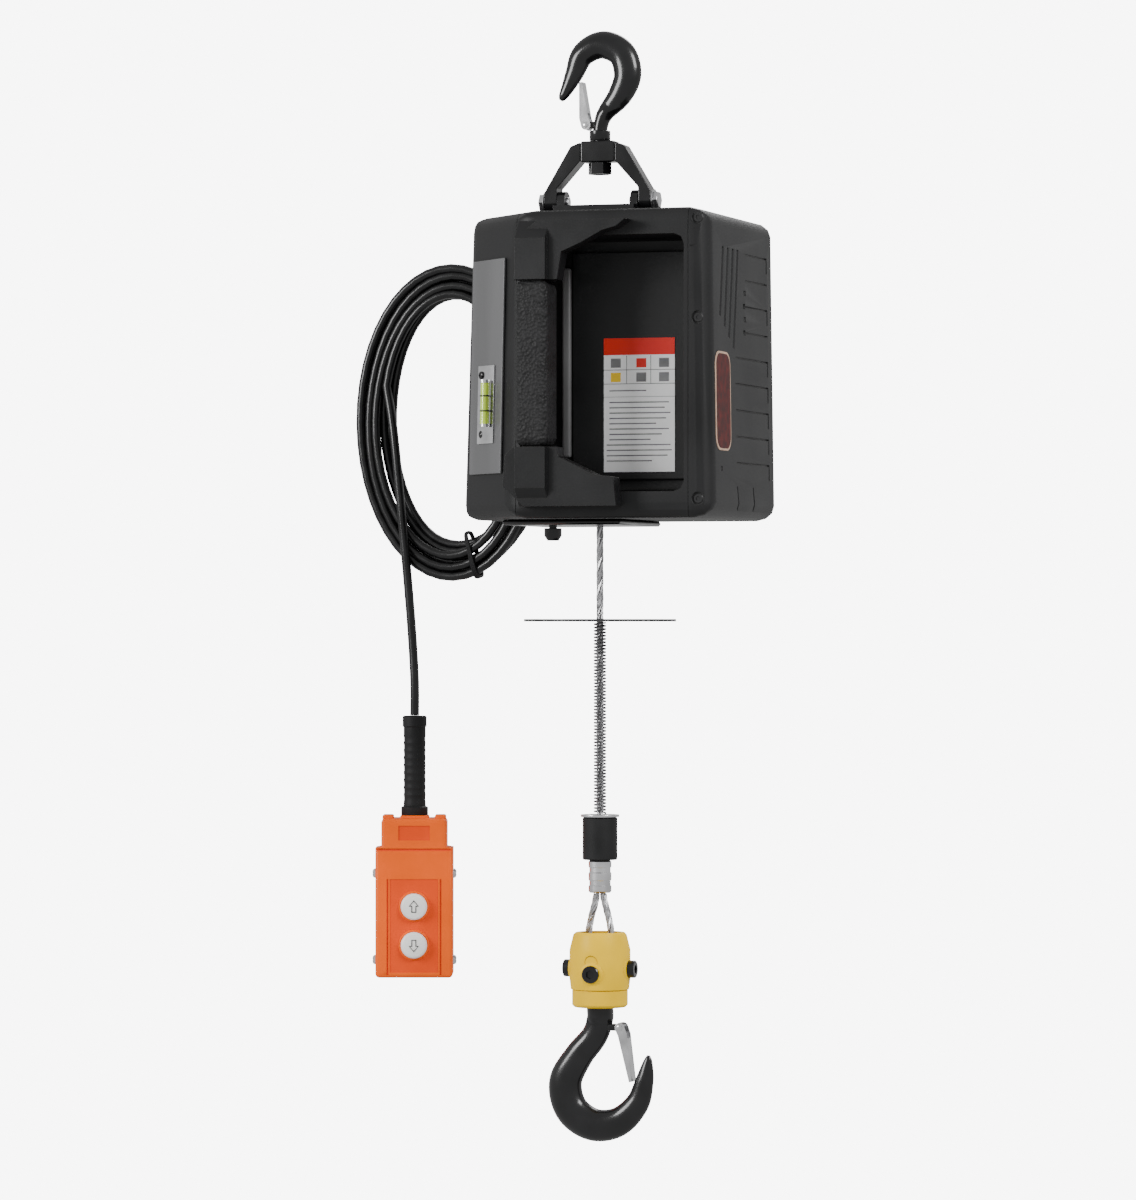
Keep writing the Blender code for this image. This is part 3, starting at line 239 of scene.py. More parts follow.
CAD_FINISH = {
    "black_enamel": "black_enamel",
    "black_moulding": "housing_plastic",
    "grey_panel": "facet_painted_reflection",
    "black_rubber": "dull_rubber",
    "bright_steel": "zinc_steel",
    "rope_steel": "rope_wire",
    "yellow_paint": "block_yellow",
    "orange_case": "case_orange",
    "white_button": "button_white",
    "level_fluid": "level_fluid",
    "motor_steel": "motor_grey",
    "copper": "winding_copper",
}
NODE_SLOT = {entry["node"]: entry["material_slot"] for entry in frame["record"]["subparts"]}
NODE_BODY = {node: body for body, nodes in frame["record"]["behaviour"]["bodies"].items() for node in nodes}


# ---------------------------------------------------------------- modelling helpers

def deselect():
    bpy.ops.object.select_all(action="DESELECT")


def only(thing):
    deselect()
    thing.select_set(True)
    bpy.context.view_layer.objects.active = thing


def settle(thing):
    """Apply the object's place, so that its place is in its mesh."""
    only(thing)
    bpy.ops.object.transform_apply(location=True, rotation=True, scale=True)
    return thing


def paint(thing, finish, clear=True):
    if clear:
        thing.data.materials.clear()
    thing.data.materials.append(FINISHES[finish])
    return thing


def apply_all(thing):
    """Apply every modifier in order."""
    only(thing)
    for modifier in list(thing.modifiers):
        bpy.ops.object.modifier_apply(modifier=modifier.name)
    return thing


def round_edges(thing, width, segments=3, angle=35):
    only(thing)
    bpy.ops.object.modifier_add(type="BEVEL")
    edge = thing.modifiers[-1]
    edge.width = width
    edge.segments = segments
    edge.limit_method = "ANGLE"
    edge.angle_limit = math.radians(angle)
    return apply_all(thing)


def soften(thing, angle=38, flat=False):
    """Smooth shading up to an angle, with broad faces kept flat if asked."""
    only(thing)
    bpy.ops.object.shade_smooth_by_angle(angle=math.radians(angle))
    if flat:
        bpy.ops.object.modifier_add(type="WEIGHTED_NORMAL")
        thing.modifiers[-1].keep_sharp = True
        apply_all(thing)
    return thing


def seat(thing, node_or_body, slot, *replaced):
    """Ride on a node's body and stand for the CAD nodes given; the slot is not used."""
    body = NODE_BODY.get(node_or_body, node_or_body)
    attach(thing, body)
    if replaced:
        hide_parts(*replaced)
    return thing


def refined(node, finish, edge=None, segments=2, seat_now=True, angle=40):
    """A welded, edge-rounded, smooth-shaded copy of a CAD node, standing for it."""
    source = frame["nodes"][node]
    thing = source.copy()
    thing.data = source.data.copy()
    thing.name = node + "_finished"
    thing.parent = None
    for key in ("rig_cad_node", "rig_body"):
        if key in thing:
            del thing[key]
    bpy.context.scene.collection.objects.link(thing)
    only(thing)
    bpy.ops.object.mode_set(mode="EDIT")
    bpy.ops.mesh.select_all(action="SELECT")
    bpy.ops.mesh.remove_doubles(threshold=0.000005)
    bpy.ops.mesh.dissolve_limited(angle_limit=math.radians(0.6))
    bpy.ops.mesh.customdata_custom_splitnormals_clear()
    bpy.ops.object.mode_set(mode="OBJECT")
    paint(thing, finish)
    width = sizes().edge if edge is None else edge
    if width > 0:
        round_edges(thing, width, segments, angle)
    soften(thing, angle, flat=True)
    if seat_now:
        seat(thing, node, NODE_SLOT[node], node)
    return thing


def block(name, low, high, finish, edge=0.0005, segments=2):
    """A box between two corners with rounded edges."""
    low = Vector(low)
    high = Vector(high)
    deselect()
    bpy.ops.mesh.primitive_cube_add(size=1.0, location=(low + high) / 2)
    thing = bpy.context.active_object
    thing.name = name
    thing.scale = high - low
    settle(thing)
    if edge > 0:
        round_edges(thing, edge, segments)
        soften(thing)
    return paint(thing, finish)


TURN = {
    "X": Matrix.Rotation(math.pi / 2, 4, "Y"),
    "-X": Matrix.Rotation(-math.pi / 2, 4, "Y"),
    "Y": Matrix.Rotation(-math.pi / 2, 4, "X"),
    "-Y": Matrix.Rotation(math.pi / 2, 4, "X"),
    "Z": Matrix.Identity(4),
    "-Z": Matrix.Rotation(math.pi, 4, "X"),
}


def at(point, axis="Z"):
    """A matrix that stands local +Z along an axis at a point."""
    return Matrix.Translation(Vector(point)) @ TURN[axis]


def stack(name, rings, place, finish, vertices=32, edge=0.0, smooth=40):
    """A turned solid: a filled circle extruded and scaled through (height, radius) rings."""
    deselect()
    height, radius = rings[0]
    bpy.ops.mesh.primitive_circle_add(vertices=vertices, radius=radius, fill_type="NGON", location=(0, 0, height))
    thing = bpy.context.active_object
    thing.name = name
    settle(thing)
    bpy.ops.object.mode_set(mode="EDIT")
    bpy.ops.mesh.select_all(action="SELECT")
    for next_height, next_radius in rings[1:]:
        bpy.ops.mesh.extrude_region_move(TRANSFORM_OT_translate={"value": (0, 0, next_height - height)})
        ratio = next_radius / radius
        bpy.ops.transform.resize(value=(ratio, ratio, 1.0), center_override=(0, 0, next_height))
        height = next_height
        radius = next_radius
    bpy.ops.mesh.select_all(action="SELECT")
    bpy.ops.mesh.normals_make_consistent(inside=False)
    bpy.ops.object.mode_set(mode="OBJECT")
    thing.data.transform(place)
    if edge > 0:
        round_edges(thing, edge)
    soften(thing, smooth)
    return paint(thing, finish)


def join(name, pieces):
    """Join pieces into the first and name it."""
    deselect()
    for piece in pieces:
        piece.select_set(True)
    bpy.context.view_layer.objects.active = pieces[0]
    if len(pieces) > 1:
        bpy.ops.object.join()
    pieces[0].name = name
    return pieces[0]


def carve(thing, cutter, operation="DIFFERENCE"):
    """Cut or join with a cutter, which is then removed."""
    only(thing)
    bpy.ops.object.modifier_add(type="BOOLEAN")
    cut = thing.modifiers[-1]
    cut.operation = operation
    cut.object = cutter
    cut.material_mode = "TRANSFER"
    cut.solver = "EXACT"
    apply_all(thing)
    bpy.data.objects.remove(cutter, do_unlink=True)
    return thing


def tube(name, points, radii, finish, sides=12, cyclic=False):
    """A round tube through points, with one radius or one for each point."""
    curve = bpy.data.curves.new(name, "CURVE")
    curve.dimensions = "3D"
    curve.bevel_depth = 1.0
    curve.bevel_resolution = max(0, sides // 2 - 2) // 2 * 2 if sides < 8 else sides // 2 - 2
    curve.use_fill_caps = True
    spline = curve.splines.new("POLY")
    spline.points.add(len(points) - 1)
    for i, point in enumerate(points):
        spline.points[i].co = (*point, 1.0)
        spline.points[i].radius = radii[i] if isinstance(radii, list) else radii
    spline.use_cyclic_u = cyclic
    thing = bpy.data.objects.new(name, curve)
    bpy.context.scene.collection.objects.link(thing)
    only(thing)
    bpy.ops.object.convert(target="MESH")
    thing = bpy.context.active_object
    bpy.ops.object.mode_set(mode="EDIT")
    bpy.ops.mesh.select_all(action="SELECT")
    bpy.ops.mesh.remove_doubles(threshold=0.000002)
    bpy.ops.mesh.normals_make_consistent(inside=False)
    bpy.ops.object.mode_set(mode="OBJECT")
    thing.name = name
    soften(thing, 50)
    return paint(thing, finish)


def smooth_route(points, step):
    """Points about one step apart on a smooth curve through the route's own points."""
    points = [Vector(point) for point in points]
    ends = [points[0] * 2 - points[1]] + points + [points[-1] * 2 - points[-2]]
    route = []
    for before, start, end, after in zip(ends, ends[1:], ends[2:], ends[3:]):
        count = max(1, round((end - start).length / step))
        for i in range(count):
            t = i / count
            bend = (end - before) * t + (2 * before - 5 * start + 4 * end - after) * t * t
            bend += (3 * start - before - 3 * end + after) * t ** 3
            route.append(start + bend / 2)
    route.append(points[-1])
    return route


def blended_bar(name, points, finish, flat=1.0, keep=lambda co: False, step=0.0022, sides=28):
    """A forged bar through (x, z, radius) points in the XZ plane, thinned in Y."""
    path = smooth_route([(x, radius, z) for x, z, radius in points], step)
    radii = [co.y for co in path]
    thing = tube(name, [(co.x, 0.0, co.z) for co in path], radii, finish, sides)
    for vert in thing.data.vertices:
        if not keep(vert.co):
            vert.co.y *= flat
    return thing


def laid_rope(name, path, diameter, lay, finish, strands=6, sides=6):
    """A stranded rope: strands wound round a core along a path."""
    core_r = diameter * 0.26
    strand_r = diameter * 0.175
    pitch_r = diameter / 2 - strand_r
    frames = []
    side = Vector((1, 0, 0))
    travelled = 0.0
    for i, point in enumerate(path):
        ahead = path[min(i + 1, len(path) - 1)] - path[max(i - 1, 0)]
        forward = ahead.normalized()
        side = (side - forward * side.dot(forward))
        if side.length < 1e-4:
            side = forward.orthogonal()
        side.normalize()
        if i:
            travelled += (point - path[i - 1]).length
        frames.append((point, side.copy(), forward.cross(side), travelled))
    parts = [tube(name + "_core", path, core_r, finish, sides)]
    for strand in range(strands):
        start = 2 * math.pi * strand / strands
        line = []
        for point, across, up, along in frames:
            angle = start + 2 * math.pi * along / lay
            line.append(point + across * (pitch_r * math.cos(angle)) + up * (pitch_r * math.sin(angle)))
        parts.append(tube(name + "_strand", line, strand_r, finish, sides))
    return join(name, parts)


def hex_bolt(name, point, axis, radius, height, finish="zinc_steel"):
    """A hexagon head with a chamfered crown, on a washer."""
    place = at(point, axis)
    washer = stack(name + "_washer", [(0, radius * 1.18), (height * 0.16, radius * 1.18)], place, finish)
    head = stack(name, [(height * 0.16, radius), (height * 0.86, radius), (height, radius * 0.84)], place, finish,
                 vertices=6, edge=0.0003, smooth=25)
    return join(name, [washer, head])


def cross_screw(name, point, axis, radius, height, finish="zinc_steel"):
    """A pan-head screw with a cross recess."""
    rings = [(0, radius), (height * 0.55, radius * 0.96), (height * 0.88, radius * 0.72), (height, radius * 0.40)]
    head = stack(name, rings, at(point, axis), finish, vertices=24)
    arm = radius * 0.62
    slim = radius * 0.13
    low = height * 0.45
    for across, along in ((arm, slim), (slim, arm)):
        cutter = block(name + "_slot", (-across, -along, low), (across, along, height * 1.5), finish, edge=0)
        cutter.data.transform(at(point, axis))
        carve(head, cutter)
    return soften(head)


def socket_screw(name, point, axis, radius, height, finish="black_enamel"):
    """A cap screw with a hexagon socket."""
    rings = [(0, radius), (height - 0.0006, radius), (height, radius - 0.0006)]
    head = stack(name, rings, at(point, axis), finish, vertices=28)
    cutter = stack(name + "_socket", [(height * 0.35, radius * 0.52), (height * 1.5, radius * 0.52)],
                   at(point, axis), finish, vertices=6)
    return soften(carve(head, cutter))


# ---------------------------------------------------------------- stage, camera and cords

CAMERA_DISTANCE = 4.2
VIEW_HEIGHT = 0.960
VIEW_MIDDLE = Vector((-0.0256, -0.4328))
HORIZON = -0.4490
FLOOR = -8.75
FLOOR_SIZE = 60.0
PAPER = (0.93, 0.93, 0.93, 1.0)
SOFT_STRENGTH = 0.74
PAPER_STRENGTH = 8.5
FLOOR_GLOW = 5.0


class HOIST_OT_stage(bpy.types.Operator):
    """Camera, pale floor and soft studio lights"""

    bl_idname = "hoist.stage"
    bl_label = "Stage"

    def execute(self, context):
        turn = sizes().camera_turn
        right = Vector((math.cos(turn), math.sin(turn), 0))
        back = Vector((math.sin(turn), -math.cos(turn), 0))
        data = bpy.data.cameras.new("hoist_camera")
        data.sensor_fit = "VERTICAL"
        data.sensor_height = 24.0
        data.lens = 24.0 * CAMERA_DISTANCE / VIEW_HEIGHT
        data.shift_y = (VIEW_MIDDLE.y - HORIZON) / VIEW_HEIGHT
        data.clip_end = FLOOR_SIZE
        camera = bpy.data.objects.new("hoist_camera", data)
        context.scene.collection.objects.link(camera)
        camera.location = right * VIEW_MIDDLE.x + back * CAMERA_DISTANCE + Vector((0, 0, HORIZON))
        camera.rotation_euler = (math.pi / 2, 0, turn)
        context.scene.camera = camera
        deselect()
        bpy.ops.mesh.primitive_plane_add(size=FLOOR_SIZE, location=(0, 0, FLOOR))
        floor = context.active_object
        floor.name = "studio_floor"
        surface("studio_pale", (0.82, 0.82, 0.82), 0.85, vary=0.01, scale=0.4, bump=0.0, rough_vary=0.02)
        paint(floor, "studio_pale")
        glow = FINISHES["studio_pale"].node_tree.nodes["Principled BSDF"]
        glow.inputs["Emission Color"].default_value = PAPER
        glow.inputs["Emission Strength"].default_value = FLOOR_GLOW
        floor.visible_diffuse = False
        floor.visible_glossy = False
        world = bpy.data.worlds.new("studio_world")
        context.scene.world = world
        world.use_nodes = True
        tree = world.node_tree
        soft = tree.nodes["Background"]
        soft.inputs["Color"].default_value = PAPER
        soft.inputs["Strength"].default_value = SOFT_STRENGTH
        paper = tree.nodes.new("ShaderNodeBackground")
        paper.inputs["Color"].default_value = PAPER
        paper.inputs["Strength"].default_value = PAPER_STRENGTH
        rays = tree.nodes.new("ShaderNodeLightPath")
        either = tree.nodes.new("ShaderNodeMixShader")
        tree.links.new(rays.outputs["Is Camera Ray"], either.inputs["Fac"])
        tree.links.new(soft.outputs["Background"], either.inputs[1])
        tree.links.new(paper.outputs["Background"], either.inputs[2])
        tree.links.new(either.outputs["Shader"], tree.nodes["World Output"].inputs["Surface"])
        lamps = (
            ("key_light", right * 1.5 + back * 1.6 + Vector((0, 0, 0.9)), 52.0, 0.9),
            ("left_light", right * -2.0 + back * 1.0 + Vector((0, 0, 0.2)), 40.0, 0.8),
            ("rim_light", right * 0.6 - back * 1.4 + Vector((0, 0, 1.2)), 16.0, 0.9),
        )
        middle = Vector((0, 0, -0.35))
        for name, place, power, size in lamps:
            light = bpy.data.lights.new(name, "AREA")
            light.energy = power
            light.size = size
            lamp = bpy.data.objects.new(name, light)
            context.scene.collection.objects.link(lamp)
            lamp.location = place
            lamp.rotation_euler = (middle - place).to_track_quat("-Z", "Y").to_euler()
        return {"FINISHED"}


# How far in from the coil's edge each turn lies, and the depth of its two layers behind its front.
TURN_INSETS = (0.0245, 0.0318, 0.0165, 0.0088, 0.0046, 0.0126, 0.0205, 0.0290)
LAYER_BACK = 0.0120
LAYER_FRONT = 0.0042
TURN_POINTS = 48
LAST_SHARE = 0.455
FIRST_SWEEP = 0.03
EASE_FROM = 0.72
LAYER_CHANGE = 3.72
BUNDLE_MIDDLE = 0.0180
ROUTE_STEP = 0.009
GAP = 0.0003


def coil_point(sweep):
    """A point on the coil after sweep turns, counted from its right side upwards."""
    low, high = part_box("pendant_coil")
    middle = (low + high) / 2
    half = (high - low) / 2
    index = min(int(sweep), len(TURN_INSETS) - 1)
    share = sweep - int(sweep)
    after = TURN_INSETS[min(index + 1, len(TURN_INSETS) - 1)]
    ease = max(0.0, (share - EASE_FROM) / (1 - EASE_FROM))
    ease = ease * ease * (3 - 2 * ease)
    angle = 2 * math.pi * sweep
    inset = TURN_INSETS[index] * (1 - ease) + after * ease
    inset = BUNDLE_MIDDLE + (inset - BUNDLE_MIDDLE) * (0.92 - 0.10 * math.sin(angle))
    inset += 0.0011 * math.sin(2 * angle + 1.7 * index)
    layer = 0.0 if sweep < LAYER_CHANGE else min(1.0, (sweep - LAYER_CHANGE) / 0.28)
    depth = LAYER_BACK * (1 - layer) + LAYER_FRONT * layer
    across = (half.x - inset) * math.cos(angle)
    up = (half.z - inset) * math.sin(angle)
    return Vector((middle.x + across, low.y + depth, middle.z + up))


def lead_route():
    """The lead's points, from the gland round the coil and down to the pendant."""
    gland_low, gland_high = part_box("lead_gland")
    coil_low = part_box("pendant_coil")[0]
    relief_low, relief_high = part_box("strain_relief")
    radius = sizes().lead / 2
    gland = (gland_low + gland_high) / 2
    start = Vector((gland.x, gland_high.y + GAP, gland.z))
    begin = smooth_route([
        start, start + Vector((0, 0.012, 0)), (-0.0290, 0.1430, -0.3365), (-0.0480, 0.1520, -0.3370),
        (-0.0680, 0.1490, -0.3290), (-0.0860, 0.1380, -0.3130), (-0.0960, 0.1265, -0.2900),
        coil_point(FIRST_SWEEP),
    ], ROUTE_STEP)
    turns = len(TURN_INSETS) - 1 + LAST_SHARE
    count = int(turns * TURN_POINTS)
    coil = [coil_point(FIRST_SWEEP + (turns - FIRST_SWEEP) * i / count) for i in range(count + 1)]
    front = coil_low.y - GAP - radius
    middle = (relief_low + relief_high) / 2
    drop = smooth_route([
        coil[-1], (-0.2115, front + 0.0020, -0.2900), (-0.2045, front, -0.3500), (-0.1985, front, -0.4100),
        (-0.1940, front - 0.0006, -0.4600), (middle.x, middle.y, -0.5000),
        (middle.x, middle.y, relief_high.z + GAP),
    ], ROUTE_STEP)
    return begin[:-1] + coil + drop[1:]


class HOIST_OT_lead(bpy.types.Operator):
    """The pendant lead: gland, coil, clip and drop, as one cord"""

    bl_idname = "hoist.lead"
    bl_label = "Pendant lead"

    def execute(self, context):
        route = lead_route()
        lead = tube("pendant_lead", route, sizes().lead / 2, "cord_rubber", sides=12)
        seat(lead, "pendant_coil", "black_rubber", "pendant_coil", "pendant_lead_top", "pendant_lead_drop")
        gland = refined("lead_gland", "dull_rubber")
        refined("cord_hanger", "black_enamel")
        self.tie()
        return {"FINISHED"}

    def tie(self):
        """Strap that holds the coil's turns together."""
        low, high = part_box("pendant_coil")
        middle = (low + high) / 2
        half = (high - low) / 2
        bands = []
        for turn in (4.95, 4.965, 4.98):
            loop = []
            for i in range(24):
                angle = 2 * math.pi * i / 24
                inset = 0.0187 + 0.0192 * math.copysign(abs(math.cos(angle)) ** 0.5, math.cos(angle))
                y = low.y + 0.0082 + 0.0094 * math.copysign(abs(math.sin(angle)) ** 0.5, math.sin(angle))
                loop.append((middle.x + (half.x - inset) * math.cos(turn), y,
                             middle.z + (half.z - inset) * math.sin(turn)))
            bands.append(tube("coil_tie", loop, 0.0010, "dull_rubber", sides=8, cyclic=True))
        seat(join("coil_tie", bands), "pendant_coil", "black_rubber")


# ---------------------------------------------------------------- hooks and yoke

SHANK_TOP = [(0.0, -0.0920, 0.0059), (0.0, -0.0620, 0.0059), (0.0010, -0.0520, 0.0060), (0.0050, -0.0430, 0.0070)]
TOP_BOWL = [
    (0.0170, -0.0290, 0.0100), (0.0232, -0.0130, 0.0113), (0.0180, 0.0040, 0.0113), (0.0020, 0.0112, 0.0111),
    (-0.0140, 0.0042, 0.0098), (-0.0215, -0.0110, 0.0076), (-0.0270, -0.0220, 0.0055), (-0.0314, -0.0296, 0.0036),
    (-0.0330, -0.0322, 0.0016),
]


class HOIST_OT_suspension(bpy.types.Operator):
    """Suspension hook, latch, nut, swivel yoke and its bolts"""

    bl_idname = "hoist.suspension"
    bl_label = "Suspension"

    def execute(self, context):
        hook = blended_bar("suspension_hook_forging", SHANK_TOP + TOP_BOWL, "black_enamel", flat=0.72,
                           keep=lambda co: co.z < -0.040)
        rings = [(-0.0655, 0.0080), (-0.0650, 0.0084), (-0.0580, 0.0084), (-0.0575, 0.0079)]
        collar = stack("hook_collar", rings, Matrix.Identity(4), "black_enamel")
        low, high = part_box("suspension_latch")
        pivot = Vector((-0.0105, 0, -0.0528))
        lug = block("hook_lug", (pivot.x - 0.0018, -0.0034, pivot.z - 0.0026), (0.0, 0.0034, pivot.z + 0.0026),
                    "black_enamel", edge=0.0008)
        pin = stack("latch_rivet", [(-0.0058, 0.0015), (-0.0054, 0.0022), (-0.0051, 0.0022), (-0.0051, 0.0016),
                                    (0.0051, 0.0016), (0.0051, 0.0022), (0.0054, 0.0022), (0.0058, 0.0015)],
                    at(pivot, "Y"), "zinc_steel")
        whole = join("suspension_hook_forging", [hook, collar, lug, pin])
        seat(whole, "suspension_hook", "black_enamel", "suspension_hook")
        refined("suspension_latch", "zinc_steel", edge=0.0003)
        refined("suspension_nut", "black_enamel", edge=0.0005)
        refined("yoke_block", "black_enamel", edge=0.0006)
        for word in ("left", "right"):
            refined("yoke_leg_" + word, "black_enamel", edge=0.0011, segments=3)
        refined("top_bracket", "black_enamel", edge=0.0010)
        for word, axis, sign in (("left", "-X", -1), ("right", "X", 1)):
            node = "yoke_bolt_" + word
            low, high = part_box(node)
            face = high.x if sign > 0 else low.x
            tail = low.x if sign > 0 else high.x
            middle = (low + high) / 2
            head = hex_bolt(node + "_head", (face - sign * 0.0050, middle.y, middle.z), axis, 0.0074, 0.0050)
            shank = stack(node + "_shank", [(0, 0.0036), (0.0004, 0.0040), (abs(face - tail) - 0.005, 0.0040)],
                          at((tail, middle.y, middle.z), axis), "zinc_steel")
            seat(join(node + "_finished", [head, shank]), node, "bright_steel", node)
        return {"FINISHED"}


LOAD_POINTS = [
    (0.0, -0.7383, 0.0107), (0.0, -0.7573, 0.0107), (0.0, -0.7683, 0.0107), (-0.0050, -0.7820, 0.0108),
    (-0.0180, -0.7980, 0.0118), (-0.0290, -0.8190, 0.0135), (-0.0240, -0.8405, 0.0138), (-0.0060, -0.8525, 0.0132),
    (0.0150, -0.8500, 0.0118), (0.0310, -0.8350, 0.0098), (0.0372, -0.8170, 0.0076), (0.0395, -0.8050, 0.0050),
    (0.0405, -0.7985, 0.0028), (0.0407, -0.7960, 0.0012),
]


class HOIST_OT_load_hook(bpy.types.Operator):
    """Load hook with its latch, and the yellow block over it"""

    bl_idname = "hoist.load_hook"
    bl_label = "Load hook and block"

    def execute(self, context):
        hook = blended_bar("load_hook_forging", LOAD_POINTS, "black_enamel", flat=0.72,
                           keep=lambda co: co.z > -0.770, sides=32)
        head_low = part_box("block_collar")[1].z + 0.0003
        head = stack("hook_head", [(head_low, 0.0154), (head_low + 0.0006, 0.0160), (head_low + 0.0074, 0.0160),
                                   (head_low + 0.0080, 0.0154)], Matrix.Identity(4), "zinc_steel")
        pivot = Vector((0.0180, 0, -0.7743))
        lug = block("hook_lug", (0.0, -0.0044, pivot.z - 0.0026), (pivot.x + 0.0020, 0.0044, pivot.z + 0.0026),
                    "black_enamel", edge=0.0009)
        pin = stack("latch_rivet", [(-0.0070, 0.0018), (-0.0066, 0.0024), (-0.0062, 0.0024), (-0.0062, 0.0016),
                                    (0.0062, 0.0016), (0.0062, 0.0024), (0.0066, 0.0024), (0.0070, 0.0018)],
                    at(pivot, "Y"), "zinc_steel")
        whole = join("load_hook_forging", [hook, head, lug, pin])
        seat(whole, "load_hook", "black_enamel", "load_hook")
        refined("load_latch", "zinc_steel", edge=0.0004)
        refined("block_casing", "block_yellow", edge=0.0004, segments=2)
        refined("block_collar", "block_yellow", edge=0.0006)
        refined("eye_pin", "block_yellow", edge=0)
        low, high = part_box("block_casing")
        front_z = low.z + 0.0130
        side_z = low.z + 0.0164
        sunk = 0.0014
        for name, point, axis, stand in (
            ("front", (0, low.y + sunk, front_z), "-Y", 0.0030),
            ("back", (0, high.y - sunk, front_z), "Y", 0.0030),
            ("left", (low.x + sunk, 0, side_z), "-X", 0.0062),
            ("right", (high.x - sunk, 0, side_z), "X", 0.0062),
        ):
            boss = stack("block_boss_" + name, [(-0.0030, 0.0100), (0.0002, 0.0096), (0.0012, 0.0084)],
                         at(point, axis), "block_yellow", vertices=40)
            foot = at(point, axis) @ Vector((0, 0, 0.0006))
            screw = socket_screw("block_screw_" + name, foot, axis, 0.0070, stand)
            seat(join("block_bolt_" + name, [boss, screw]), "block_casing", "yellow_paint")
        self.latch_spring(pivot)
        return {"FINISHED"}

    def latch_spring(self, pivot):
        """Torsion spring round the latch's pivot."""
        radius = 0.0036
        line = []
        for i in range(61):
            angle = 2 * math.pi * i / 12
            line.append((pivot.x + radius * math.cos(angle), -0.0040 + 0.0080 * i / 60,
                         pivot.z + radius * math.sin(angle)))
        spring = tube("load_latch_spring", line, 0.0006, "spring_wire", sides=8)
        seat(spring, "load_latch", "bright_steel")


# ---------------------------------------------------------------- rope, disc, spring

def straight(z_from, z_to, step):
    count = max(2, round(abs(z_to - z_from) / step))
    return [Vector((0, 0, z_from + (z_to - z_from) * i / count)) for i in range(count + 1)]


class HOIST_OT_rope(bpy.types.Operator):
    """Wire rope, limit disc, spring, washer, buffer, ferrule and rope eye"""

    bl_idname = "hoist.rope"
    bl_label = "Rope and limit gear"

    def execute(self, context):
        size = sizes()
        low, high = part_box("rope_run")
        run = laid_rope("rope_run_laid", straight(high.z, low.z, 0.003), size.rope, size.rope_lay, "rope_wire")
        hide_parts("rope_run")
        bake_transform(run)
        low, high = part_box("rope_end")
        end = laid_rope("rope_end_laid", straight(high.z, low.z, 0.003), size.rope, size.rope_lay, "rope_wire")
        seat(end, "rope_end", "rope_steel", "rope_end")
        low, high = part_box("rope_eye")
        pin_low, pin_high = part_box("eye_pin")
        pin_z = (pin_low.z + pin_high.z) / 2
        swing = high.x - size.rope / 2
        leg = size.rope / 2 + 0.0003
        side = [(-leg, 0, high.z), (-leg, 0, high.z - 0.0040), (-swing, 0, high.z - 0.0280),
                (-swing, 0, pin_z + 0.004)]
        bend = []
        for i in range(1, 8):
            angle = math.pi + math.pi * i / 8
            bend.append((swing * math.cos(angle), 0, pin_z + swing * math.sin(angle)))
        path = smooth_route(side + bend + [(-x, y, z) for x, y, z in reversed(side)], 0.0025)
        eye = laid_rope("rope_eye_laid", path, size.rope, size.rope_lay, "rope_wire")
        seat(eye, "rope_eye", "rope_steel", "rope_eye")
        refined("limit_disc", "dark_disc", edge=0.0004, angle=30)
        refined("spring_washer", "zinc_steel", edge=0.0004)
        refined("rubber_buffer", "dull_rubber", edge=0.0012, segments=3)
        self.ferrule()
        self.spring()
        return {"FINISHED"}

    def ferrule(self):
        """Pressed sleeve with two crimp marks round it."""
        low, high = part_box("ferrule")
        radius = high.x
        rings = [(low.z, radius - 0.0012), (low.z + 0.0012, radius)]
        for share in (0.30, 0.70):
            middle = low.z + (high.z - low.z) * share
            rings += [(middle - 0.0026, radius), (middle - 0.0016, radius - 0.0007),
                      (middle + 0.0016, radius - 0.0007), (middle + 0.0026, radius)]
        rings += [(high.z - 0.0012, radius), (high.z, radius - 0.0012)]
        sleeve = stack("ferrule_pressed", rings, Matrix.Identity(4), "zinc_steel", vertices=36, smooth=30)
        seat(sleeve, "ferrule", "bright_steel", "ferrule")

    def spring(self):
        """Open coils of even pitch from end to end."""
        size = sizes()
        low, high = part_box("limit_spring")
        wire = size.spring_wire / 2
        radius = high.x - wire
        turns = size.spring_turns
        count = turns * 14
        line = []
        for i in range(count + 1):
            share = i / count
            angle = 2 * math.pi * turns * share
            height = low.z + wire + (high.z - low.z - 2 * wire) * share
            line.append((radius * math.cos(angle), radius * math.sin(angle), height))
        coil = tube("limit_spring_coil", line, wire, "spring_wire", sides=8)
        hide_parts("limit_spring")
        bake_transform(coil)


# ---------------------------------------------------------------- housing

COVER_LEAN = 0.0035


def cover_face(z):
    """How far out the leaning right face is at a height."""
    low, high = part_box("right_cover")
    return high.x - COVER_LEAN * (z - low.z) / (high.z - low.z)


def groove(y, z, width, height, slant=0.0, depth=0.0020):
    """A cutter for a groove in the right face, leaning by slant."""
    cutter = block("groove", (-depth, -width / 2, -height / 2), (0.0040, width / 2, height / 2), "recess_plastic",
                   edge=0)
    cutter.data.transform(Matrix.Translation((cover_face(z), y, z)) @ Matrix.Rotation(slant, 4, "X"))
    return cutter


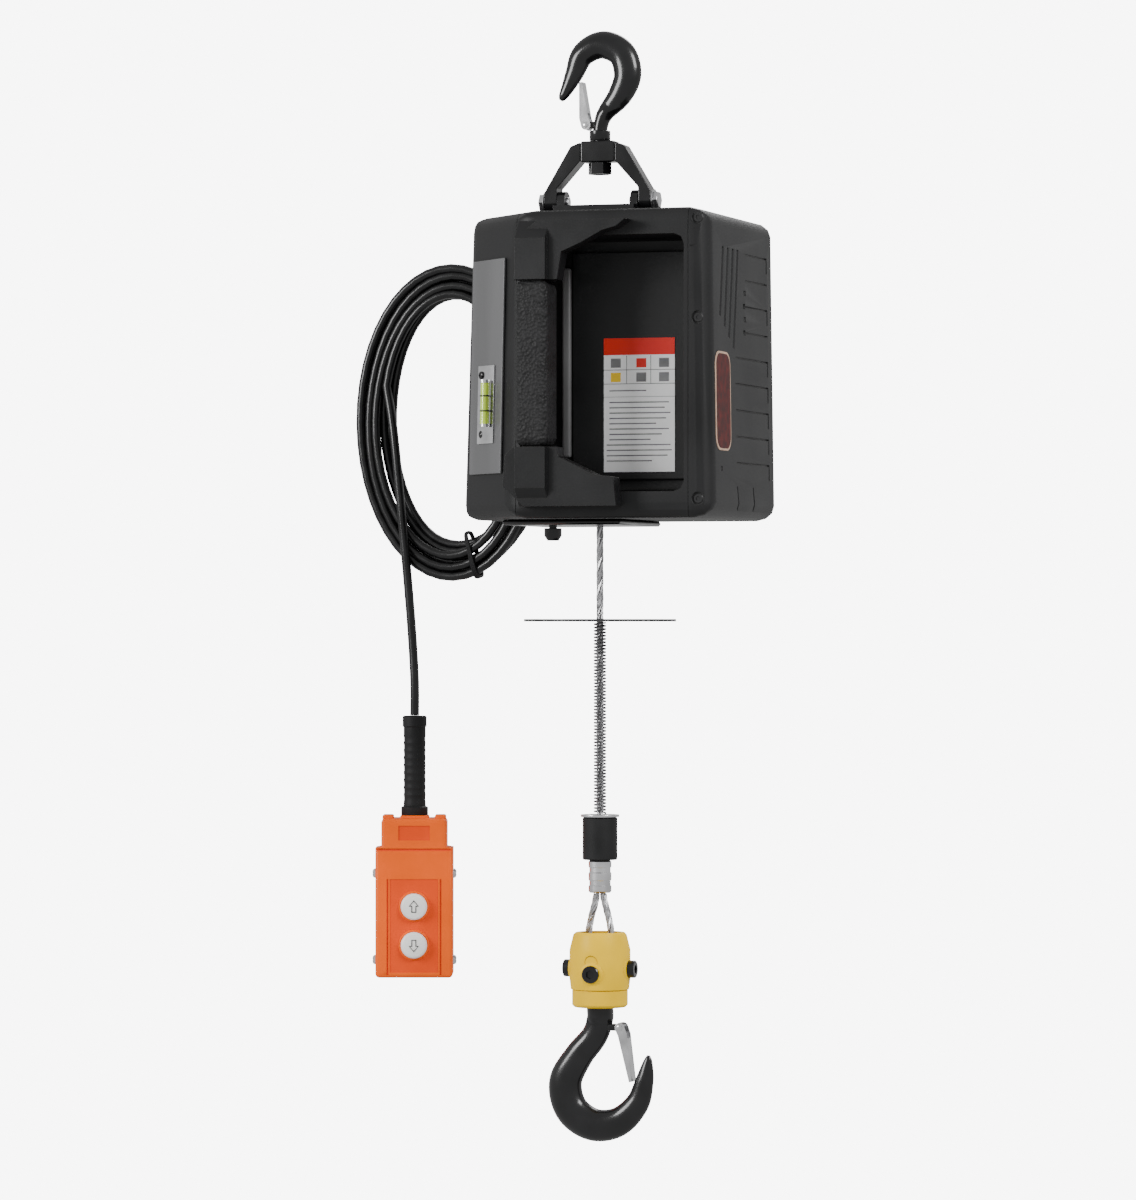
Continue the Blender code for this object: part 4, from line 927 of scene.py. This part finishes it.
class HOIST_OT_housing(bpy.types.Operator):
    """Covers, centre shell, front panel, screws, slits and grooves"""

    bl_idname = "hoist.housing"
    bl_label = "Housing"

    def execute(self, context):
        self.right_cover()
        refined("centre_shell", "housing_plastic", edge=0.0009, segments=2)
        self.left_cover()
        refined("front_panel", "recess_plastic", edge=0.0008, segments=3)
        self.painted_highlight_bar()
        refined("bottom_plate", "black_enamel", edge=0.0006)
        refined("limit_plunger", "black_enamel", edge=0.0004)
        return {"FINISHED"}

    def right_cover(self):
        """Cover with leaning slits, a comb of grooves, sunk screws and a ridge on its front strip."""
        cover = refined("right_cover", "housing_plastic", edge=0.0009, segments=2, seat_now=False)
        low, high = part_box("right_cover")
        top = high.z
        cutters = []
        for i in range(4):
            cutters.append(groove(-0.0600 + i * 0.0130, top - 0.0560 - i * 0.0040, 0.0050, 0.0560 + i * 0.0080,
                                  math.radians(-11)))
        for i in range(9):
            z = top - 0.0310 - i * 0.0208
            near = 0.0060 if i < 4 else -0.0240
            cutters.append(groove((near + 0.0700) / 2, z, 0.0700 - near, 0.0015, depth=0.0012))
            if i % 2 == 0 or i > 3:
                cutters.append(groove(0.0690, z - 0.0058, 0.0034, 0.0120, depth=0.0014))
        for i in range(4):
            cutters.append(groove(0.0050 - 0.0020 * (i % 2), top - 0.0620 - i * 0.0105, 0.0060, 0.0042))
        cutters.append(groove(-0.0660, top - 0.2030, 0.0040, 0.0040))
        for i in range(2):
            cutters.append(groove(-0.0200 + 0.0450 * i, low.z + 0.0130, 0.0026, 0.0260, math.radians(14)))
        front = low.y
        screw_in = 0.0115
        wells = (("top", 0.0085), ("upper", 0.0861), ("lower", 0.2269))
        for name, down in wells:
            cutters.append(stack("well", [(-0.0018, 0.0050), (0.0040, 0.0058)],
                                 at((high.x - screw_in, front, top - down), "-Y"), "recess_plastic"))
        cutters.append(block("ridge", (high.x - 0.0180, front - 0.0020, top - 0.0310),
                             (high.x + 0.0020, front + 0.0007, top - 0.0298), "recess_plastic", edge=0))
        for cutter in cutters:
            carve(cover, cutter)
        soften(cover, 40, flat=True)
        seat(cover, "right_cover", "black_moulding", "right_cover")
        for name, down in wells:
            screw = socket_screw("cover_screw_" + name, (high.x - screw_in, front + 0.0020, top - down), "-Y",
                                 0.0040, 0.0009, "recess_plastic")
            seat(screw, "right_cover", "black_moulding")

    def left_cover(self):
        """Cover with two small screw holes in its left face."""
        cover = refined("left_cover", "housing_plastic", edge=0.0009, segments=2, seat_now=False)
        low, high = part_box("left_cover")
        for y in (-0.0250, 0.0650):
            for z in (high.z - 0.0900, low.z + 0.0250):
                cutter = stack("well", [(-0.0060, 0.0040), (0.0080, 0.0040)], at((low.x + 0.0060, y, z), "-X"),
                               "recess_plastic")
                carve(cover, cutter)
        soften(cover, 40, flat=True)
        seat(cover, "left_cover", "black_moulding", "left_cover")

    def painted_highlight_bar(self):
        """Rounded bar beside the front panel, coloured pale grey as a painted highlight on the lit edge of the
        recess.
        """
        low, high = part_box("front_panel")
        edge = block("painted_highlight_strip", (low.x - 0.0082, low.y - 0.0022, low.z + 0.0180),
                     (low.x - 0.0006, high.y - 0.0001, high.z - 0.0120), "painted_highlight_grey", edge=0.0030, segments=4)
        seat(edge, "front_panel", "black_moulding")


class HOIST_OT_handle(bpy.types.Operator):
    """Carrying handle and its rubber grip"""

    bl_idname = "hoist.handle"
    bl_label = "Handle"

    def execute(self, context):
        refined("handle", "knuckle_plastic", edge=0.0040, segments=4, angle=30)
        grip = refined("handle_grip", "grip_rubber", edge=0, seat_now=False)
        seat(grip, "handle_grip", "black_rubber", "handle_grip")
        return {"FINISHED"}


class HOIST_OT_trim(bpy.types.Operator):
    """Facet panel, spirit level, plain label and plain badge"""

    bl_idname = "hoist.trim"
    bl_label = "Trim"

    def execute(self, context):
        # The left panel's grey finish is a painted reflection of the left lamp.
        refined("left_panel", "facet_painted_reflection", edge=0.0007, segments=3)
        refined("level_plate", "zinc_steel", edge=0.0004)
        refined("level_vial", "level_fluid", edge=0.0002)
        self.level_marks()
        self.label()
        self.badge()
        return {"FINISHED"}

    def level_marks(self):
        """Two lines round the vial, its end caps and the plate's screws."""
        low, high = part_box("level_vial")
        middle = (low + high) / 2
        radius = (high.x - low.x) / 2
        rings = []
        for share in (-0.16, 0.16, -0.47, 0.47):
            half = 0.0005 if abs(share) < 0.3 else 0.0012
            z = middle.z + (high.z - low.z) * share
            finish = "arrow_black" if abs(share) < 0.3 else "zinc_steel"
            rings.append(stack("vial_ring", [(z - half, radius + 0.0002), (z + half, radius + 0.0002)],
                               Matrix.Translation((middle.x, middle.y, 0)), finish, vertices=20))
        seat(join("vial_rings", rings), "level_vial", "bright_steel")
        low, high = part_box("level_plate")
        out = Vector((-1, -1, 0)).normalized()
        plate = (low + high) / 2
        run = Vector((1, -1, 0)).normalized()
        for name, z in (("upper", high.z - 0.0075), ("lower", low.z + 0.0075)):
            spot = Vector((plate.x, plate.y, z)) - run * 0.0075 + out * 0.0002
            screw = cross_screw("level_screw_" + name, (0, 0, 0), "Z", 0.0032, 0.0016, "black_enamel")
            turn = out.to_track_quat("Z", "Y").to_matrix().to_4x4()
            screw.data.transform(Matrix.Translation(spot) @ turn)
            seat(screw, "level_plate", "black_enamel")

    def label(self):
        """A plain label: a red band, empty boxes and grey bars."""
        low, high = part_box("front_panel")
        front = low.y
        left = low.x + 0.0265
        right = left + 0.0585
        top = high.z - 0.0684
        bottom = top - 0.1056
        skin = 0.0004
        parts = [block("label_sheet", (left, front - skin, bottom), (right, front + 0.0002, top), "label_white",
                       edge=0)]
        face = front - skin
        ink = 0.00012
        width = right - left

        def bar(x0, x1, z0, z1, finish):
            parts.append(block("label_mark", (left + width * x0, face - ink, top - z0),
                               (left + width * x1, face + ink, top - z1), finish, edge=0))

        bar(0.0, 1.0, 0.0132, 0.0, "label_red")
        bar(0.0, 1.0, 0.0253, 0.0248, "label_grey")
        bar(0.0, 1.0, 0.0363, 0.0358, "label_grey")
        for x in (0.32, 0.66):
            bar(x, x + 0.008, 0.0358, 0.0137, "label_grey")
        for x, finish in ((0.10, "label_grey"), (0.46, "label_red"), (0.78, "label_grey")):
            bar(x, x + 0.14, 0.0232, 0.0160, finish)
        for x, finish in ((0.10, "label_amber"), (0.46, "label_grey"), (0.78, "label_grey")):
            bar(x, x + 0.14, 0.0345, 0.0272, finish)
        bar(0.0, 1.0, 0.0465, 0.0462, "label_grey")
        widths = (0.52, 0.84, 0.78, 0.86, 0.80, 0.66, 0.84, 0.74, 0.58, 0.86, 0.88, 0.82, 0.60)
        for i, share in enumerate(widths):
            z = 0.0410 if i == 0 else 0.0460 + i * 0.0042
            bar(0.08 if i < 9 else 0.04, 0.08 + share, z + 0.0009, z, "label_grey")
        seat(join("plain_label", parts), "front_panel", "black_moulding")

    def badge(self):
        """A long round-ended badge, unmarked, on the right cover."""
        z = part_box("right_cover")[1].z - 0.1500
        for name, half_w, half_h, out, finish in (
            ("badge_rim", 0.0210, 0.0388, 0.0007, "badge_rim"),
            ("badge_face", 0.0186, 0.0371, 0.0010, "badge_red"),
        ):
            corner = half_w * 0.55
            plate = stack(name, [(-0.0010, corner), (out - 0.0002, corner), (out, corner - 0.0002)],
                          Matrix.Identity(4), finish, vertices=40)
            for vert in plate.data.vertices:
                if abs(vert.co.x) > 1e-7:
                    vert.co.x += math.copysign(half_h - corner, vert.co.x)
                if abs(vert.co.y) > 1e-7:
                    vert.co.y += math.copysign(half_w - corner, vert.co.y)
            plate.data.transform(at((0, -0.0610, z), "X"))
            for vert in plate.data.vertices:
                vert.co.x += cover_face(vert.co.z)
            seat(plate, "right_cover", "black_moulding")


# ---------------------------------------------------------------- pendant

PENDANT_TURN = math.radians(18)
SHOULDER = -0.0235
SHOULDER_IN = 0.0049
CASE_HALF_W = 0.0313
CASE_HALF_D = 0.0200
CASE_SCREWS = ((-0.0458, "upper"), (-0.1173, "lower"))
BUTTON_FACE = -0.0250


def pendant_place():
    """The pendant's own axes: its middle line at the case's top."""
    low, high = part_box("strain_relief")
    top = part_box("pendant_front")[1].z
    middle = Matrix.Translation(((low.x + high.x) / 2, (low.y + high.y) / 2, top))
    return middle @ Matrix.Rotation(PENDANT_TURN, 4, "Z")


class HOIST_OT_pendant(bpy.types.Operator):
    """Strain relief, orange case, screws and the two buttons"""

    bl_idname = "hoist.pendant"
    bl_label = "Pendant"

    def execute(self, context):
        place = pendant_place()
        self.relief()
        front = refined("pendant_front", "case_orange", edge=0.0006, segments=2, seat_now=False)
        back = refined("pendant_back", "case_orange", edge=0.0006, segments=2, seat_now=False)
        for case in (front, back):
            self.narrow_top(case, place)
        for low, high, finish in (
            ((-0.0200, -0.030, -0.1270), (0.0200, -CASE_HALF_D + 0.0005, -0.0500), "case_inset"),
            ((-0.0226, -0.030, -0.1290), (-0.0212, -CASE_HALF_D + 0.0012, -0.0500), "case_inset"),
            ((0.0212, -0.030, -0.1290), (0.0226, -CASE_HALF_D + 0.0012, -0.0500), "case_inset"),
            ((-0.0400, -0.030, -0.0268), (0.0400, -CASE_HALF_D + 0.0010, -0.0250), "case_inset"),
            ((-0.0130, -0.030, -0.0180), (0.0130, -CASE_HALF_D + 0.0008, -0.0060), "case_inset"),
        ):
            cutter = block("inset", low, high, finish, edge=0)
            cutter.data.transform(place)
            carve(front, cutter)
        for case, node in ((front, "pendant_front"), (back, "pendant_back")):
            soften(case, 40, flat=True)
            seat(case, node, NODE_SLOT[node], node)
        parts = []
        for side in (-1, 1):
            near = min(side * 0.0170, side * 0.0262)
            far = max(side * 0.0170, side * 0.0262)
            parts.append(block("case_lug", (near, -0.0160, -0.0030), (far, 0.0040, 0.0030), "case_orange",
                               edge=0.0014, segments=3))
            for z, word in CASE_SCREWS:
                near = min(side * (CASE_HALF_W - 0.0030), side * (CASE_HALF_W + 0.0007))
                far = max(side * (CASE_HALF_W - 0.0030), side * (CASE_HALF_W + 0.0007))
                parts.append(block("case_ear", (near, -0.0095, z - 0.0056), (far, 0.0035, z + 0.0056),
                                   "case_orange", edge=0.0006))
        parts.append(block("case_boss", (-0.0120, -0.0130, -0.0030), (0.0120, 0.0130, 0.0022), "case_orange",
                           edge=0.0014, segments=3))
        for part in parts:
            part.data.transform(place)
        seat(join("case_details", parts), "pendant_front", "orange_case")
        for z, word in CASE_SCREWS:
            for side, hand in ((-1, "left"), (1, "right")):
                screw = cross_screw("case_screw", (side * (CASE_HALF_W + 0.0005), -0.0030, z),
                                    "X" if side > 0 else "-X", 0.0040, 0.0030)
                screw.name = "case_screw_" + hand + "_" + word
                screw.data.transform(place)
                seat(screw, "pendant_front", "bright_steel")
        for node, up in (("button_up", 1), ("button_down", -1)):
            self.button(place, node, up)
        return {"FINISHED"}

    def narrow_top(self, case, place):
        """Draw in the sides of the case above its shoulder."""
        case.data.transform(place.inverted())
        only(case)
        bpy.ops.object.mode_set(mode="EDIT")
        for height in (SHOULDER - 0.0008, SHOULDER):
            bpy.ops.mesh.select_all(action="SELECT")
            bpy.ops.mesh.bisect(plane_co=(0, 0, height), plane_no=(0, 0, 1))
        bpy.ops.object.mode_set(mode="OBJECT")
        for vert in case.data.vertices:
            if vert.co.z > SHOULDER - 0.0004 and abs(vert.co.x) > 0.0200:
                vert.co.x -= math.copysign(SHOULDER_IN, vert.co.x)
        case.data.transform(place)

    def relief(self):
        """Ribbed boot between lead and case."""
        low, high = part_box("strain_relief")
        length = high.z - low.z
        rings = [(0.0, 0.0108), (0.0008, 0.0112), (0.0085, 0.0112), (0.0096, 0.0093)]
        count = 9
        for i in range(count):
            z = 0.0130 + i * (length - 0.0290) / count
            rings += [(z, 0.0092), (z + 0.0012, 0.0089), (z + 0.0040, 0.0089), (z + 0.0052, 0.0092)]
        rings += [(length - 0.0096, 0.0092), (length - 0.0086, 0.0100), (length - 0.0010, 0.0100),
                  (length, 0.0092)]
        middle = (low + high) / 2
        boot = stack("strain_relief_boot", rings, Matrix.Translation((middle.x, middle.y, low.z)), "dull_rubber",
                     vertices=36, smooth=30)
        seat(boot, "strain_relief", "black_rubber", "strain_relief")

    def button(self, place, node, up):
        """Domed round button with a plain arrow, and the dark ring round it."""
        low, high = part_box(node)
        z = (low.z + high.z) / 2 - place.translation.z
        rings = [(0.0, 0.0109), (0.0085, 0.0109), (0.0098, 0.0102), (0.0104, 0.0088)]
        cap = stack(node + "_cap", rings, at((0, BUTTON_FACE + 0.0105, z), "-Y"), "button_white", vertices=48)
        arrow = []
        for x, along in ((0, 0.0050), (0.0038, 0.0006), (0.0017, 0.0006), (0.0017, -0.0044), (-0.0017, -0.0044),
                         (-0.0017, 0.0006), (-0.0038, 0.0006)):
            arrow.append((x, BUTTON_FACE, z + up * along))
        outline = tube(node + "_arrow", arrow, 0.00050, "arrow_black", sides=8, cyclic=True)
        whole = join(node + "_finished", [cap, outline])
        whole.data.transform(place)
        seat(whole, node, "white_button", node)
        line = []
        for i in range(48):
            angle = 2 * math.pi * i / 48
            line.append((0.0118 * math.cos(angle), -0.0196, z + 0.0118 * math.sin(angle)))
        ring = tube(node + "_ring", line, 0.0009, "case_orange", sides=8, cyclic=True)
        ring.data.transform(place)
        seat(ring, "pendant_front", "orange_case")


class HOIST_OT_inside(bpy.types.Operator):
    """Finishes of every piece inside the housing and the pendant"""

    bl_idname = "hoist.inside"
    bl_label = "Inner pieces"

    def execute(self, context):
        for name, node in frame["nodes"].items():
            node.data.materials.clear()
            node.data.materials.append(FINISHES[CAD_FINISH[NODE_SLOT[name]]])
        return {"FINISHED"}


STEPS = (
    HOIST_OT_stage, HOIST_OT_lead, HOIST_OT_inside, HOIST_OT_housing, HOIST_OT_handle, HOIST_OT_trim,
    HOIST_OT_suspension, HOIST_OT_rope, HOIST_OT_load_hook, HOIST_OT_pendant,
)


class HOIST_PT_panel(bpy.types.Panel):
    """Lists the hoist's building steps"""

    bl_label = "Wire rope hoist"
    bl_idname = "HOIST_PT_panel"
    bl_space_type = "VIEW_3D"
    bl_region_type = "UI"
    bl_category = "Hoist"

    def draw(self, context):
        for step in STEPS:
            self.layout.operator(step.bl_idname)


CLASSES = (HoistSizes, HoistColours) + STEPS + (HOIST_PT_panel,)


def register():
    for cls in CLASSES:
        bpy.utils.register_class(cls)
    bpy.types.Scene.hoist_sizes = bpy.props.PointerProperty(type=HoistSizes)
    bpy.types.Scene.hoist_colours = bpy.props.PointerProperty(type=HoistColours)


def unregister():
    del bpy.types.Scene.hoist_sizes
    del bpy.types.Scene.hoist_colours
    for cls in reversed(CLASSES):
        bpy.utils.unregister_class(cls)


def main():
    register()
    make_finishes()
    for step in STEPS:
        group, word = step.bl_idname.split(".")
        getattr(getattr(bpy.ops, group), word)()


if __name__ == "__main__":
    main()
